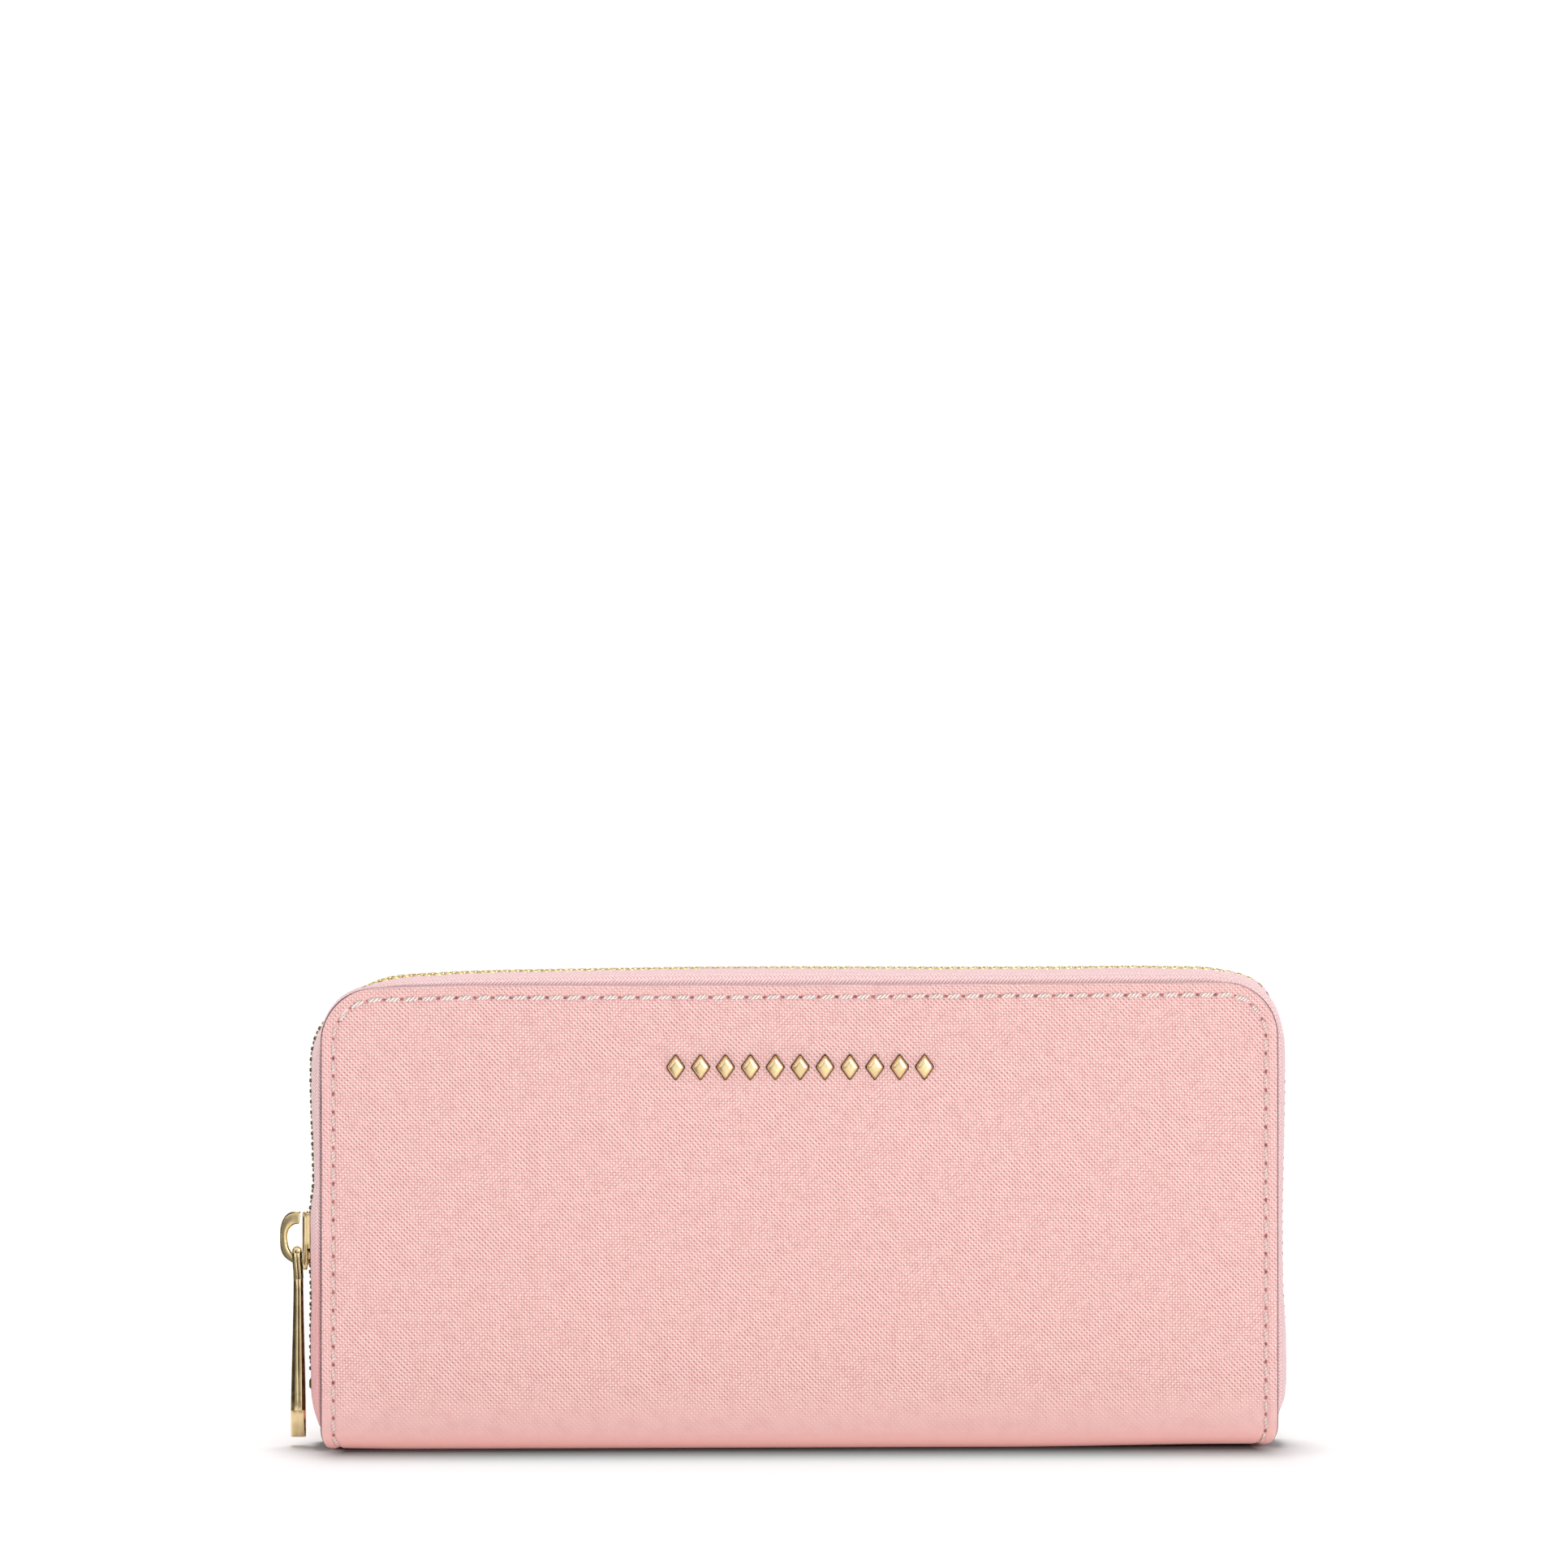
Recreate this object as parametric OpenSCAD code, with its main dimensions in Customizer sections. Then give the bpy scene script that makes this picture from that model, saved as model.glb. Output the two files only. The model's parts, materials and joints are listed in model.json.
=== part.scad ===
// Zip-around wallet standing on its spine, in millimetres.
// +Z is up, the front cover faces -Y, and the origin is the middle of the spine's underside.
// Front and back halves are the same modules, mirrored in Y.

/* [Covers] */
// Width of the covers, edge to edge
cover_w = 196; // [186:1:210]
// Height of the covers above the table
cover_h = 95; // [90:1:105]
// Thickness of the closed wallet over both covers
wallet_t = 25; // [25:0.5:30]
// Radius of the covers' top corners
corner_r = 11; // [9:0.5:14]
// Thickness of the outer leather
leather_t = 1.2; // [0.9:0.1:1.4]
// Thickness of the stiffening boards
board_t = 1.0; // [0.8:0.1:1.2]
// Thickness of the lining
lining_t = 0.6; // [0.4:0.1:0.7]
// Angle that each cover can open to
open_angle = 25; // [10:1:30]

/* [Spine] */
// Outer radius of the two folds beside the spine
fold_r = 5; // [4:0.5:6]
// How far the leather narrows on each side at the spine
spine_taper = 2; // [0.5:0.25:2]

/* [Zip] */
// How far the row of teeth stands out past the covers' edge
zip_bulge = 2.0; // [1.8:0.1:3.4]
// Radius of the row of teeth round each top corner, cutting the corner a little
zip_corner_r = 17.6; // [17:0.2:20]
// Distance between two teeth of one tape
tooth_pitch = 2.2; // [2:0.1:2.6]
// Thickness of the zip tape
tape_t = 0.6; // [0.4:0.1:0.6]
// Height of the middle of the slider above the table
slider_z = 42.5; // [40:0.5:60]

/* [Puller] */
// Length of the puller below its pivot
puller_l = 37.3; // [28:0.1:37.6]
// Width of the puller at its lower end
puller_w = 6; // [5:0.5:7]

/* [Stitching] */
// Distance of the seam from the covers' edge
seam_inset = 2.6; // [2.2:0.1:3.4]
// Distance between two stitches
stitch_pitch = 3.7; // [3:0.1:4.5]

/* [Studs] */
// Number of studs in the row on the front
stud_count = 11; // [5:2:13]
// Distance between two studs
stud_pitch = 5.1; // [4.8:0.1:6]
// Height of the row of studs above the table
stud_z = 78.4; // [70:0.5:82]

/* [Pockets] */
// Height of the card pockets above the table, each step lower than the last
pocket_top = 78; // [70:1:80]
// How far each card pocket is below the one behind it
pocket_step = 11; // [9:0.5:13]
// Height of the coin pocket's walls above the table
coin_h = 72; // [66:1:72]

/* [Hidden] */
$fn = 64;

half_w = cover_w / 2;
half_t = wallet_t / 2;

// Layers of a cover, as distances from the wallet's middle plane
leather_in = half_t - leather_t;
board_in = leather_in - board_t;
lining_in = board_in - lining_t;
pocket_t = 0.4;
pocket_count = 4;
pocket_half_w = 88;
pocket_z0 = 14;
pocket_in = lining_in - pocket_count * pocket_t;

// Folds: each cover turns about the axis of its fold
hinge_y = half_t - fold_r;
fold_inner_r = fold_r - leather_t;
fold_gap = open_angle + 5;
spine_lining_top = leather_t + lining_t;
spine_lining_inset = 3;
taper_h = 9;
rim_inset = 0.8;

// Seam: a shallow groove with the stitches lying flush in it
groove_w = 0.9;
groove_d = 0.35;
stitch_l = 2.9;
stitch_w = 0.6;
stitch_t = 0.3;
seam_z0 = fold_r + 1;

// Zip tape: a border held inside the cover, a quarter turn, and a straight web up to the teeth
border_w = 4;
turn_start = 0.4;
turn_r = zip_bulge - turn_start;
tape_edge_y = 1.45;
tape_z0 = 8;
border_r = zip_corner_r - zip_bulge;

// Teeth: a head and two legs that grip the tape's edge
tooth_l = 1.1;
tooth_half_t = 0.95;
tooth_tip_half_t = 0.75;
tooth_neck_y = 1.2;
tooth_outer_y = 2.6;
tooth_head_y = 0.2;
tooth_clear = 0.05;
teeth_z0 = 15.5;
stop_z = 13;
stop_l = 2.4;

// Slider: two plates joined by a thin wedge that runs between the rows of teeth
plate_gap = 1.05;
plate_t = 1;
plate_out = plate_gap + plate_t;
slider_l = 12;
slider_corner = 0.6;
wide_w = 7.8;
narrow_w = 6.4;
wedge_t = 0.2;
wedge_l = 4.4;
wedge_start = 0.8;
joint_bite = 0.2;

// Bridge: half an ellipse over the outer plate, open at its upper end
bridge_w = 2.2;
bridge_a = 4.5;
bridge_b = 5.5;
bridge_t = 1.6;
bridge_mid = [2.2, 0.4];
bridge_end = 78;

// Studs: lozenges, each on a peg through the leather
stud_w = 4.2;
stud_h = 5.8;
stud_t = 1.3;
stud_base_t = 0.5;
stud_top = 0.44;
peg_r = 0.6;

// Puller: hangs on the bridge by a round bar, with a window for the bridge
pivot_out = 3.2;
pivot_up = -2.2;
bar_r = 0.75;
bar_l = 5;
window_w = 3;
window_end = 5.8;
arm_half_t = 0.8;
foot_half_t = 1.35;
bevel_l = 5;
bevel_t = 0.85;
foot_corner = 1;

// Coin pocket in the middle, with a smaller zip of the same kind
coin_half_w = 86;
coin_wall_t = 0.6;
coin_tape_t = 0.4;
strip_t = 0.6;
coin_out = 3.5;
coin_wall_in = coin_out - coin_wall_t;
coin_inner = coin_wall_in - coin_tape_t;
coin_tape_z0 = 64;
coin_scale = 0.78;
coin_zip_z = coin_h + 2;
coin_pitch = 1.6;
coin_run = 80;
coin_slider_x = -76;
coin_puller_l = 16;
coin_slider_w = 5.4;

// Gussets: pleats between the coin pocket and each cover
gusset_t = 0.5;
gusset_z0 = 8;
gusset_h = 72;
gusset_end_x = 95.5;
gusset_fold_x = 80;
gusset_clear = 0.4;

leather_pink = [0.94, 0.74, 0.72];
lining_pink = [0.93, 0.78, 0.76];
tape_pink = [0.96, 0.80, 0.81];
thread_pink = [0.96, 0.87, 0.84];
gold = [0.86, 0.76, 0.50];
board_grey = [0.75, 0.72, 0.68];

// A line round three sides, at distance off outside the covers' edge and with radius r at its two
// turns. A point on it, s along from its lower left end at height z0, is [x, z, angle], where the
// angle turns a part drawn on the top edge into place.
function side_run(off, r, z0) = cover_h + off - r - z0;
function turn_run(r) = r * PI / 2;
function top_run(off, r) = 2 * (half_w + off - r);
function line_length(off, r, z0) = 2 * side_run(off, r, z0) + 2 * turn_run(r) + top_run(off, r);
function turn_point(off, r, angle) = [
  r * (1 + sin(angle)) - half_w - off,
  cover_h + off - r * (1 - cos(angle)),
  angle
];
function left_point(s, off, r, z0) =
  s < side_run(off, r, z0)
    ? [-half_w - off, z0 + s, -90]
    : s < side_run(off, r, z0) + turn_run(r)
      ? turn_point(off, r, (s - side_run(off, r, z0)) / r * 180 / PI - 90)
      : [s - side_run(off, r, z0) - turn_run(r) - top_run(off, r) / 2, cover_h + off, 0];
function mirrored(p) = [-p[0], p[1], -p[2]];
function line_point(s, off, r, z0) =
  s <= line_length(off, r, z0) / 2
    ? left_point(s, off, r, z0)
    : mirrored(left_point(line_length(off, r, z0) - s, off, r, z0));

// Repeats its children at equal steps along such a line.
module along_edge(pitch, off, r, z0, shift = 0) {
  total = line_length(off, r, z0);
  count = floor((total - pitch) / pitch);
  start = (total - count * pitch) / 2 + shift;
  for (i = [0 : count]) {
    p = line_point(start + i * pitch, off, r, z0);
    translate([p[0], 0, p[1]]) rotate([0, p[2], 0]) children();
  }
}

// Sweeps the zip's section round three sides: x is the distance outside the covers' edge.
module around_edge(z0) {
  side = cover_h - border_r - z0;
  top = 2 * (half_w - border_r);
  translate([half_w, 0, z0]) linear_extrude(side) children();
  translate([-half_w, 0, z0]) mirror([1, 0, 0]) linear_extrude(side) children();
  translate([top / 2, 0, cover_h]) rotate([0, -90, 0]) linear_extrude(top) children();
  for (end = [-1, 1])
    translate([end * top / 2, 0, cover_h - border_r])
      rotate([-90, 0, 0]) rotate([0, 0, end > 0 ? -90 : 180])
        rotate_extrude(angle = 90) translate([border_r, 0]) children();
}

// A plate parallel to the covers, from y_near to y_near + t, with its outline drawn in X and Z.
module plate(y_near, t) {
  translate([0, y_near + t, 0]) rotate([90, 0, 0]) linear_extrude(t) children();
}

// The covers' outline, or one with rounder corners, moved in by inset and cut off at height bottom.
module outline(inset, bottom, r = corner_r) {
  w = half_w - inset;
  translate([-w, bottom]) square([2 * w, cover_h - r - bottom]);
  translate([r - half_w, bottom]) square([2 * (half_w - r), cover_h - inset - bottom]);
  for (side = [-1, 1])
    translate([side * (half_w - r), cover_h - r]) circle(r - inset);
}

// The covers' outline with its sides drawn in a little towards the spine.
module cover_outline() {
  difference() {
    outline(0, fold_r);
    for (side = [-1, 1])
      polygon([
        [side * (half_w + 1), fold_r - 1],
        [side * (half_w - spine_taper), fold_r - 1],
        [side * (half_w - spine_taper), fold_r],
        [side * half_w, fold_r + taper_h],
        [side * (half_w + 1), fold_r + taper_h]
      ]);
  }
}

module in_back() {
  mirror([0, 1, 0]) children();
}

module stud_places() {
  for (i = [0 : stud_count - 1])
    translate([(i - (stud_count - 1) / 2) * stud_pitch, -half_t, stud_z]) children();
}

// Leather panel of one cover, with the groove for its seam.
module cover_panel() {
  color(leather_pink) difference() {
    plate(-half_t, leather_t) cover_outline();
    plate(-half_t - 1, 1 + groove_d) difference() {
      outline(seam_inset - groove_w / 2, fold_r - 1);
      outline(seam_inset + groove_w / 2, fold_r - 1);
      square([cover_w, 2 * fold_r], center = true);
    }
  }
}

module front_cover() {
  color(leather_pink) difference() {
    cover_panel();
    stud_places() rotate([-90, 0, 0]) cylinder(r = peg_r, h = 3 * leather_t, center = true);
  }
}

module back_cover() {
  in_back() cover_panel();
}

// Leather under the wallet: the flat spine and the start of the fold on either side.
module spine_cover() {
  reach = 2 * fold_r;
  color(leather_pink)
    translate([spine_taper - half_w, 0, 0]) rotate([90, 0, 90])
      linear_extrude(2 * (half_w - spine_taper)) {
        translate([-hinge_y, 0]) square([2 * hinge_y, leather_t]);
        for (side = [-1, 1])
          translate([side * hinge_y, fold_r]) intersection() {
            difference() {
              circle(fold_r);
              circle(fold_inner_r);
            }
            polygon([
              [0, 0],
              [0, -reach],
              [side * reach, -reach],
              [side * reach * cos(fold_gap), -reach * sin(fold_gap)]
            ]);
          }
      }
}

module spine_lining() {
  color(lining_pink)
    translate([spine_lining_inset - half_w, -hinge_y, leather_t])
      cube([cover_w - 2 * spine_lining_inset, 2 * hinge_y, lining_t]);
}

module stiffening_board() {
  color(board_grey) plate(-leather_in, board_t) outline(border_w + 1, fold_r + 3, border_r);
}

// Lining with a turned-in rim that presses the zip tape's border against the leather.
module cover_lining() {
  color(lining_pink) {
    plate(-board_in, lining_t) outline(rim_inset, fold_r + 1, border_r);
    plate(-leather_in + tape_t, board_t - tape_t) difference() {
      outline(rim_inset, fold_r + 3, border_r);
      outline(border_w + rim_inset, fold_r, border_r);
    }
  }
}

// Stitches of one cover, lying in its groove.
module seam_thread() {
  color(thread_pink)
    along_edge(stitch_pitch, -seam_inset, corner_r - seam_inset, seam_z0)
      translate([-stitch_l / 2, groove_d - stitch_t - half_t, -stitch_w / 2])
        cube([stitch_l, stitch_t, stitch_w]);
}

// Half of the zip's tape, drawn as a section: x outwards, y towards the front.
module tape_section() {
  translate([-border_w, -leather_in]) square([border_w + turn_start, tape_t]);
  translate([turn_start, turn_r - leather_in + tape_t / 2]) intersection() {
    difference() {
      circle(turn_r + tape_t / 2);
      circle(turn_r - tape_t / 2);
    }
    translate([0, -2 * turn_r]) square(2 * turn_r);
  }
  straight_y = turn_r - leather_in + tape_t / 2;
  translate([zip_bulge - tape_t / 2, straight_y]) square([tape_t, -tape_edge_y - straight_y]);
}

module zip_tape() {
  color(tape_pink) around_edge(tape_z0) tape_section();
}

// One tooth of the front row on the top edge: its legs grip the tape, its head faces the middle.
module tooth(l = tooth_l) {
  grip = tape_t / 2 + tooth_clear;
  jaw_y = tape_edge_y - tooth_clear;
  translate([-l / 2, 0, 0]) rotate([90, 0, 90]) linear_extrude(l)
    polygon([
      [-tooth_head_y, -tooth_tip_half_t],
      [-tooth_head_y, tooth_tip_half_t],
      [-tooth_neck_y, tooth_half_t],
      [-tooth_outer_y, tooth_half_t],
      [-tooth_outer_y, grip],
      [-jaw_y, grip],
      [-jaw_y, -grip],
      [-tooth_outer_y, -grip],
      [-tooth_outer_y, -tooth_half_t],
      [-tooth_neck_y, -tooth_half_t]
    ]);
}

module zip_teeth(shift) {
  color(gold) along_edge(tooth_pitch, zip_bulge, zip_corner_r, teeth_z0, shift) tooth();
}

module zip_stops() {
  color(gold)
    for (side = [-1, 1])
      translate([side * (half_w + zip_bulge), 0, stop_z]) rotate([0, side * 90, 0]) tooth(stop_l);
}

// Both plates and the wedge, lying on the top edge: x along the zip, z outwards.
module slider_body(wide = wide_w, narrow = narrow_w) {
  color(gold) {
    for (side = [-1, 1])
      translate([0, 0, side * (plate_gap + plate_t / 2) - plate_t / 2]) linear_extrude(plate_t)
        intersection() {
          polygon([
            [-slider_l / 2, -wide / 2],
            [0, -wide / 2],
            [slider_l / 2, -narrow / 2],
            [slider_l / 2, narrow / 2],
            [0, wide / 2],
            [-slider_l / 2, wide / 2]
          ]);
          circle(r = slider_l / 2 + slider_corner);
        }
    translate([wedge_start - slider_l / 2, -wedge_t / 2, -plate_gap - joint_bite])
      cube([wedge_l, wedge_t, 2 * (plate_gap + joint_bite)]);
  }
}

// Bridge over the outer plate, lying on the top edge: joined at its low end, free at the other.
module slider_bridge() {
  function rim(a, inset) = [
    bridge_mid[1] + (bridge_b - inset) * sin(a),
    bridge_mid[0] + (bridge_a - inset) * cos(a)
  ];
  foot = bridge_mid[1] - bridge_b;
  color(gold) rotate([90, 0, 0]) translate([0, 0, -bridge_w / 2]) linear_extrude(bridge_w)
    polygon([
      [foot, plate_out],
      for (a = [-90 : 7 : bridge_end]) rim(a, 0),
      for (a = [bridge_end : -7 : -90]) rim(a, bridge_t),
      [foot + bridge_t, plate_out]
    ]);
}

// Puller of length l hanging down from its pivot, which is the origin.
module puller(l, w) {
  arm_w = (bar_l - window_w) / 2;
  color(gold) {
    rotate([90, 0, 0]) cylinder(r = bar_r, h = bar_l, center = true);
    for (side = [-1, 1])
      translate([0, side * (window_w + arm_w) / 2, -(window_end + joint_bite) / 2])
        cube([2 * arm_half_t, arm_w, window_end + joint_bite], center = true);
    intersection() {
      translate([0, w / 2, 0]) rotate([90, 0, 0]) linear_extrude(w)
        polygon([
          [-arm_half_t, -window_end],
          [arm_half_t, -window_end],
          [foot_half_t, bevel_l - l],
          [foot_half_t, -l],
          [bevel_t - foot_half_t, -l],
          [-foot_half_t, bevel_l - l]
        ]);
      translate([-foot_half_t, 0, 0]) rotate([90, 0, 90]) linear_extrude(2 * foot_half_t)
        polygon([
          [-bar_l / 2, -window_end],
          [bar_l / 2, -window_end],
          [w / 2, foot_corner - l],
          [w / 2 - foot_corner, -l],
          [foot_corner - w / 2, -l],
          [-w / 2, foot_corner - l]
        ]);
    }
  }
}

// The zip's slider sits on the left side, its wide end down.
module on_left_zip() {
  translate([-half_w - zip_bulge, 0, slider_z]) rotate([0, -90, 0]) children();
}

module zip_slider() {
  on_left_zip() slider_body();
}

module zip_slider_bridge() {
  on_left_zip() slider_bridge();
}

module zip_puller() {
  translate([-half_w - zip_bulge - pivot_out, 0, slider_z + pivot_up]) mirror([1, 0, 0])
    puller(puller_l, puller_w);
}

// One full-width strip of card pockets on the front lining, number k counted from the tallest.
module card_pocket(k) {
  color(leather_pink)
    translate([-pocket_half_w, -lining_in + (k - 1) * pocket_t, pocket_z0])
      cube([2 * pocket_half_w, pocket_t, pocket_top - (k - 1) * pocket_step - pocket_z0]);
}

// A pleat at the left of the front bill compartment: from the cover in to a fold, and back out
// to the end of the coin pocket.
module gusset() {
  at_cover = -lining_in + gusset_clear;
  at_pockets = -pocket_in + gusset_clear;
  at_coins = -coin_out;
  fold = (at_pockets + at_coins - gusset_t) / 2;
  color(lining_pink) translate([0, 0, gusset_z0]) linear_extrude(gusset_h)
    polygon([
      [-gusset_end_x, at_cover],
      [-pocket_half_w - 3, at_cover],
      [-pocket_half_w - 1.6, at_pockets],
      [-gusset_fold_x, fold],
      [-gusset_fold_x, fold + gusset_t],
      [-coin_half_w + 2, at_coins],
      [-coin_half_w, at_coins],
      [-coin_half_w, at_coins - gusset_t],
      [-coin_half_w + 1.5, at_coins - gusset_t],
      [-gusset_fold_x - 2.5, fold + gusset_t / 2],
      [-pocket_half_w - 1.8, at_pockets + gusset_t],
      [-pocket_half_w - 3.2, at_cover + gusset_t],
      [-gusset_end_x, at_cover + gusset_t]
    ]);
}

// One stud: a lozenge with bevelled sides and a flat top, on a peg through the leather.
module stud() {
  function lozenge(k, y) = [
    [-k * stud_w / 2, y, 0],
    [0, y, -k * stud_h / 2],
    [k * stud_w / 2, y, 0],
    [0, y, k * stud_h / 2]
  ];
  color(gold) {
    rotate([-90, 0, 0]) translate([0, 0, -stud_base_t]) cylinder(r = peg_r, h = leather_t + stud_base_t);
    polyhedron(
      points = concat(lozenge(1, 0), lozenge(1, -stud_base_t), lozenge(stud_top, -stud_t)),
      faces = [
        [0, 1, 2, 3], [11, 10, 9, 8],
        for (i = [0 : 3], j = [0, 4]) [i + j, i + j + 4, (i + 1) % 4 + j + 4, (i + 1) % 4 + j]
      ]
    );
  }
}

// Walls of the coin pocket: plates either side of the middle, rounded at the top.
module coin_wall() {
  color(leather_pink) plate(-coin_out, coin_wall_t)
    translate([-coin_half_w, spine_lining_top])
      square([2 * coin_half_w, coin_h - spine_lining_top]);
}

module coin_pocket_lining() {
  color(lining_pink)
    for (side = [0, 1])
      mirror([0, side, 0])
        plate(-coin_wall_in, coin_tape_t)
          translate([1 - coin_half_w, spine_lining_top])
            square([2 * coin_half_w - 2, coin_tape_z0 - spine_lining_top]);
}

// Narrow strip that closes the coin pocket's sides and foot.
module coin_pocket_gusset() {
  color(lining_pink)
    plate(-coin_inner, 2 * coin_inner) difference() {
      translate([1 - coin_half_w, spine_lining_top])
        square([2 * coin_half_w - 2, coin_tape_z0 - spine_lining_top]);
      translate([1 + strip_t - coin_half_w, spine_lining_top + strip_t])
        square([2 * (coin_half_w - 1 - strip_t), coin_tape_z0]);
    }
}

// The coin zip's tapes: up inside the walls, then over to the teeth.
module coin_zip_tapes() {
  top = coin_zip_z + coin_tape_t / 2;
  color(tape_pink)
    translate([-coin_run - 4, 0, 0]) rotate([90, 0, 90]) linear_extrude(2 * coin_run + 8)
      for (side = [0, 1]) mirror([side, 0]) {
        translate([coin_inner, coin_tape_z0]) square([coin_tape_t, top - coin_tape_z0]);
        translate([tape_edge_y * coin_scale, top - coin_tape_t])
          square([coin_inner + coin_tape_t - tape_edge_y * coin_scale, coin_tape_t]);
      }
}

module on_coin_zip(x) {
  translate([x, 0, coin_zip_z]) scale(coin_scale) children();
}

module coin_zip_teeth() {
  count = floor((2 * coin_run - 4) / coin_pitch);
  color(gold)
    for (i = [0 : count], side = [0, 1])
      on_coin_zip(-coin_run + 2 + (i + side / 2) * coin_pitch)
        mirror([0, side, 0]) tooth();
}

module coin_zip_stops() {
  color(gold)
    for (end = [-1, 1], side = [0, 1])
      on_coin_zip(end * (coin_run + 1)) mirror([0, side, 0]) tooth(1.8);
}

// The coin zip's slider sits at its left end, turned so that its puller lies to the right.
module coin_slider() {
  on_coin_zip(coin_slider_x) mirror([1, 0, 0]) slider_body(coin_slider_w, coin_slider_w - 1);
}

module coin_slider_bridge() {
  on_coin_zip(coin_slider_x) mirror([1, 0, 0]) slider_bridge();
}

// The coin puller lies along the zip, to the right of its slider.
module coin_puller() {
  on_coin_zip(coin_slider_x)
    translate([-pivot_up, 0, pivot_out]) rotate([0, -90, 0])
      puller(coin_puller_l / coin_scale, bar_l);
}

spine_cover();
spine_lining();
front_cover();
stiffening_board();  // front_board
cover_lining();  // front_lining
seam_thread();  // front_seam_thread
zip_tape();  // front_zip_tape
zip_teeth(-tooth_pitch / 4);  // front_zip_teeth
zip_stops();  // front_zip_stops
card_pocket(1);  // front_card_pocket_1
card_pocket(2);  // front_card_pocket_2
card_pocket(3);  // front_card_pocket_3
card_pocket(4);  // front_card_pocket_4
stud_places() stud();  // front_studs
back_cover();
in_back() stiffening_board();  // back_board
in_back() cover_lining();  // back_lining
in_back() seam_thread();  // back_seam_thread
in_back() zip_tape();  // back_zip_tape
in_back() zip_teeth(tooth_pitch / 4);  // back_zip_teeth
in_back() zip_stops();  // back_zip_stops
in_back() card_pocket(1);  // back_card_pocket_1
in_back() card_pocket(2);  // back_card_pocket_2
in_back() card_pocket(3);  // back_card_pocket_3
in_back() card_pocket(4);  // back_card_pocket_4
gusset();  // front_left_gusset
mirror([1, 0, 0]) gusset();  // front_right_gusset
in_back() gusset();  // back_left_gusset
in_back() mirror([1, 0, 0]) gusset();  // back_right_gusset
coin_wall();  // coin_pocket_front
in_back() coin_wall();  // coin_pocket_back
coin_pocket_lining();
coin_pocket_gusset();
coin_zip_tapes();
coin_zip_teeth();
coin_zip_stops();
coin_slider();
coin_slider_bridge();
coin_puller();
zip_slider();
zip_slider_bridge();
zip_puller();
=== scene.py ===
"""Zip-around wallet standing on its spine: its looks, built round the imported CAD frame.

The wallet's sizes are in millimetres here, and are turned into metres when a mesh is made. The
floor, the lamps and the cards are in metres. +Z is up, the front cover faces -Y, and the origin is
the middle of the spine's underside.
"""

import json
import math

import bmesh
import bpy
import numpy as np
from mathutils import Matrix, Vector, noise


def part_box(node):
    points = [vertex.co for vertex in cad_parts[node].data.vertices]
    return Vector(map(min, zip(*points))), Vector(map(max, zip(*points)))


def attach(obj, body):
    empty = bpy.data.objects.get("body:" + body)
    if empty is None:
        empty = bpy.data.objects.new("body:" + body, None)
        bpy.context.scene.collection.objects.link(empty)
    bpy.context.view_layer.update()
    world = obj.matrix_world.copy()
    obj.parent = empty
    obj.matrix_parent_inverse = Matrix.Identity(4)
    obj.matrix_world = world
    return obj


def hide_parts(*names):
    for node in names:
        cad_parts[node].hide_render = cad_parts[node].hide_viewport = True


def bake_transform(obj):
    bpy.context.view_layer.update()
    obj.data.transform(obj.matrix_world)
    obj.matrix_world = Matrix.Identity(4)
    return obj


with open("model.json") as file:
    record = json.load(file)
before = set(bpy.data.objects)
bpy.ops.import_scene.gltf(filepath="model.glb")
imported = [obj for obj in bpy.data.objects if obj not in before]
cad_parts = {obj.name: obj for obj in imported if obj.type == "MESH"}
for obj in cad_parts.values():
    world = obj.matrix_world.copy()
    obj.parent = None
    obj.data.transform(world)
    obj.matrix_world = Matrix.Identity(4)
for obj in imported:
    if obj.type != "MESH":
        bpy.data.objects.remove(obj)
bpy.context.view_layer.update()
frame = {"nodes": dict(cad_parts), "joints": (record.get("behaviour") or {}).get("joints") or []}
nodes = frame["nodes"]
joints = {joint["name"]: joint for joint in frame["joints"]}

MM = 0.001
scene = bpy.context.scene


def node_box(name):
    """Lowest and highest corner of a CAD node, in millimetres."""
    low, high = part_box(name)
    return low / MM, high / MM


def joint_place(name):
    """Where a joint is, in millimetres."""
    return Vector(joints[name]["pos_m"]) / MM


# ---------------------------------------------------------------- sizes, from the frame
cover_low, cover_high = node_box("front_cover")
HALF_W = cover_high.x
COVER_H = cover_high.z
HALF_T = -cover_low.y
LEATHER_T = cover_high.y - cover_low.y
FOLD_R = cover_low.z
SPINE_HALF_W = node_box("spine_cover")[1].x
HINGE_Y = -joint_place("front_fold").y
BOARD_IN = -node_box("front_board")[1].y
LINING_IN = -node_box("front_lining")[1].y
LINING_T = BOARD_IN - LINING_IN
TAPE_OUT = -node_box("front_zip_tape")[0].y
SLIDER_LOW, SLIDER_HIGH = node_box("zip_slider")
CHAIN_X = (SLIDER_LOW.x + SLIDER_HIGH.x) / 2
SLIDER_Z = (SLIDER_LOW.z + SLIDER_HIGH.z) / 2
ZIP_BULGE = -CHAIN_X - HALF_W
PIVOT = joint_place("zip_puller_swing")
PULLER_L = PIVOT.z - node_box("zip_puller")[0].z + 1.0
PULLER_W = node_box("zip_puller")[1].y - node_box("zip_puller")[0].y
COIN_LOW, COIN_HIGH = node_box("coin_pocket_front")
COIN_SLIDER_LOW, COIN_SLIDER_HIGH = node_box("coin_slider")
COIN_X = (COIN_SLIDER_LOW.x + COIN_SLIDER_HIGH.x) / 2
COIN_Z = (COIN_SLIDER_LOW.z + COIN_SLIDER_HIGH.z) / 2
COIN_PIVOT = joint_place("coin_puller_swing")
COIN_SCALE = (COIN_SLIDER_HIGH.x - COIN_SLIDER_LOW.x) / (SLIDER_HIGH.z - SLIDER_LOW.z)
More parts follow.
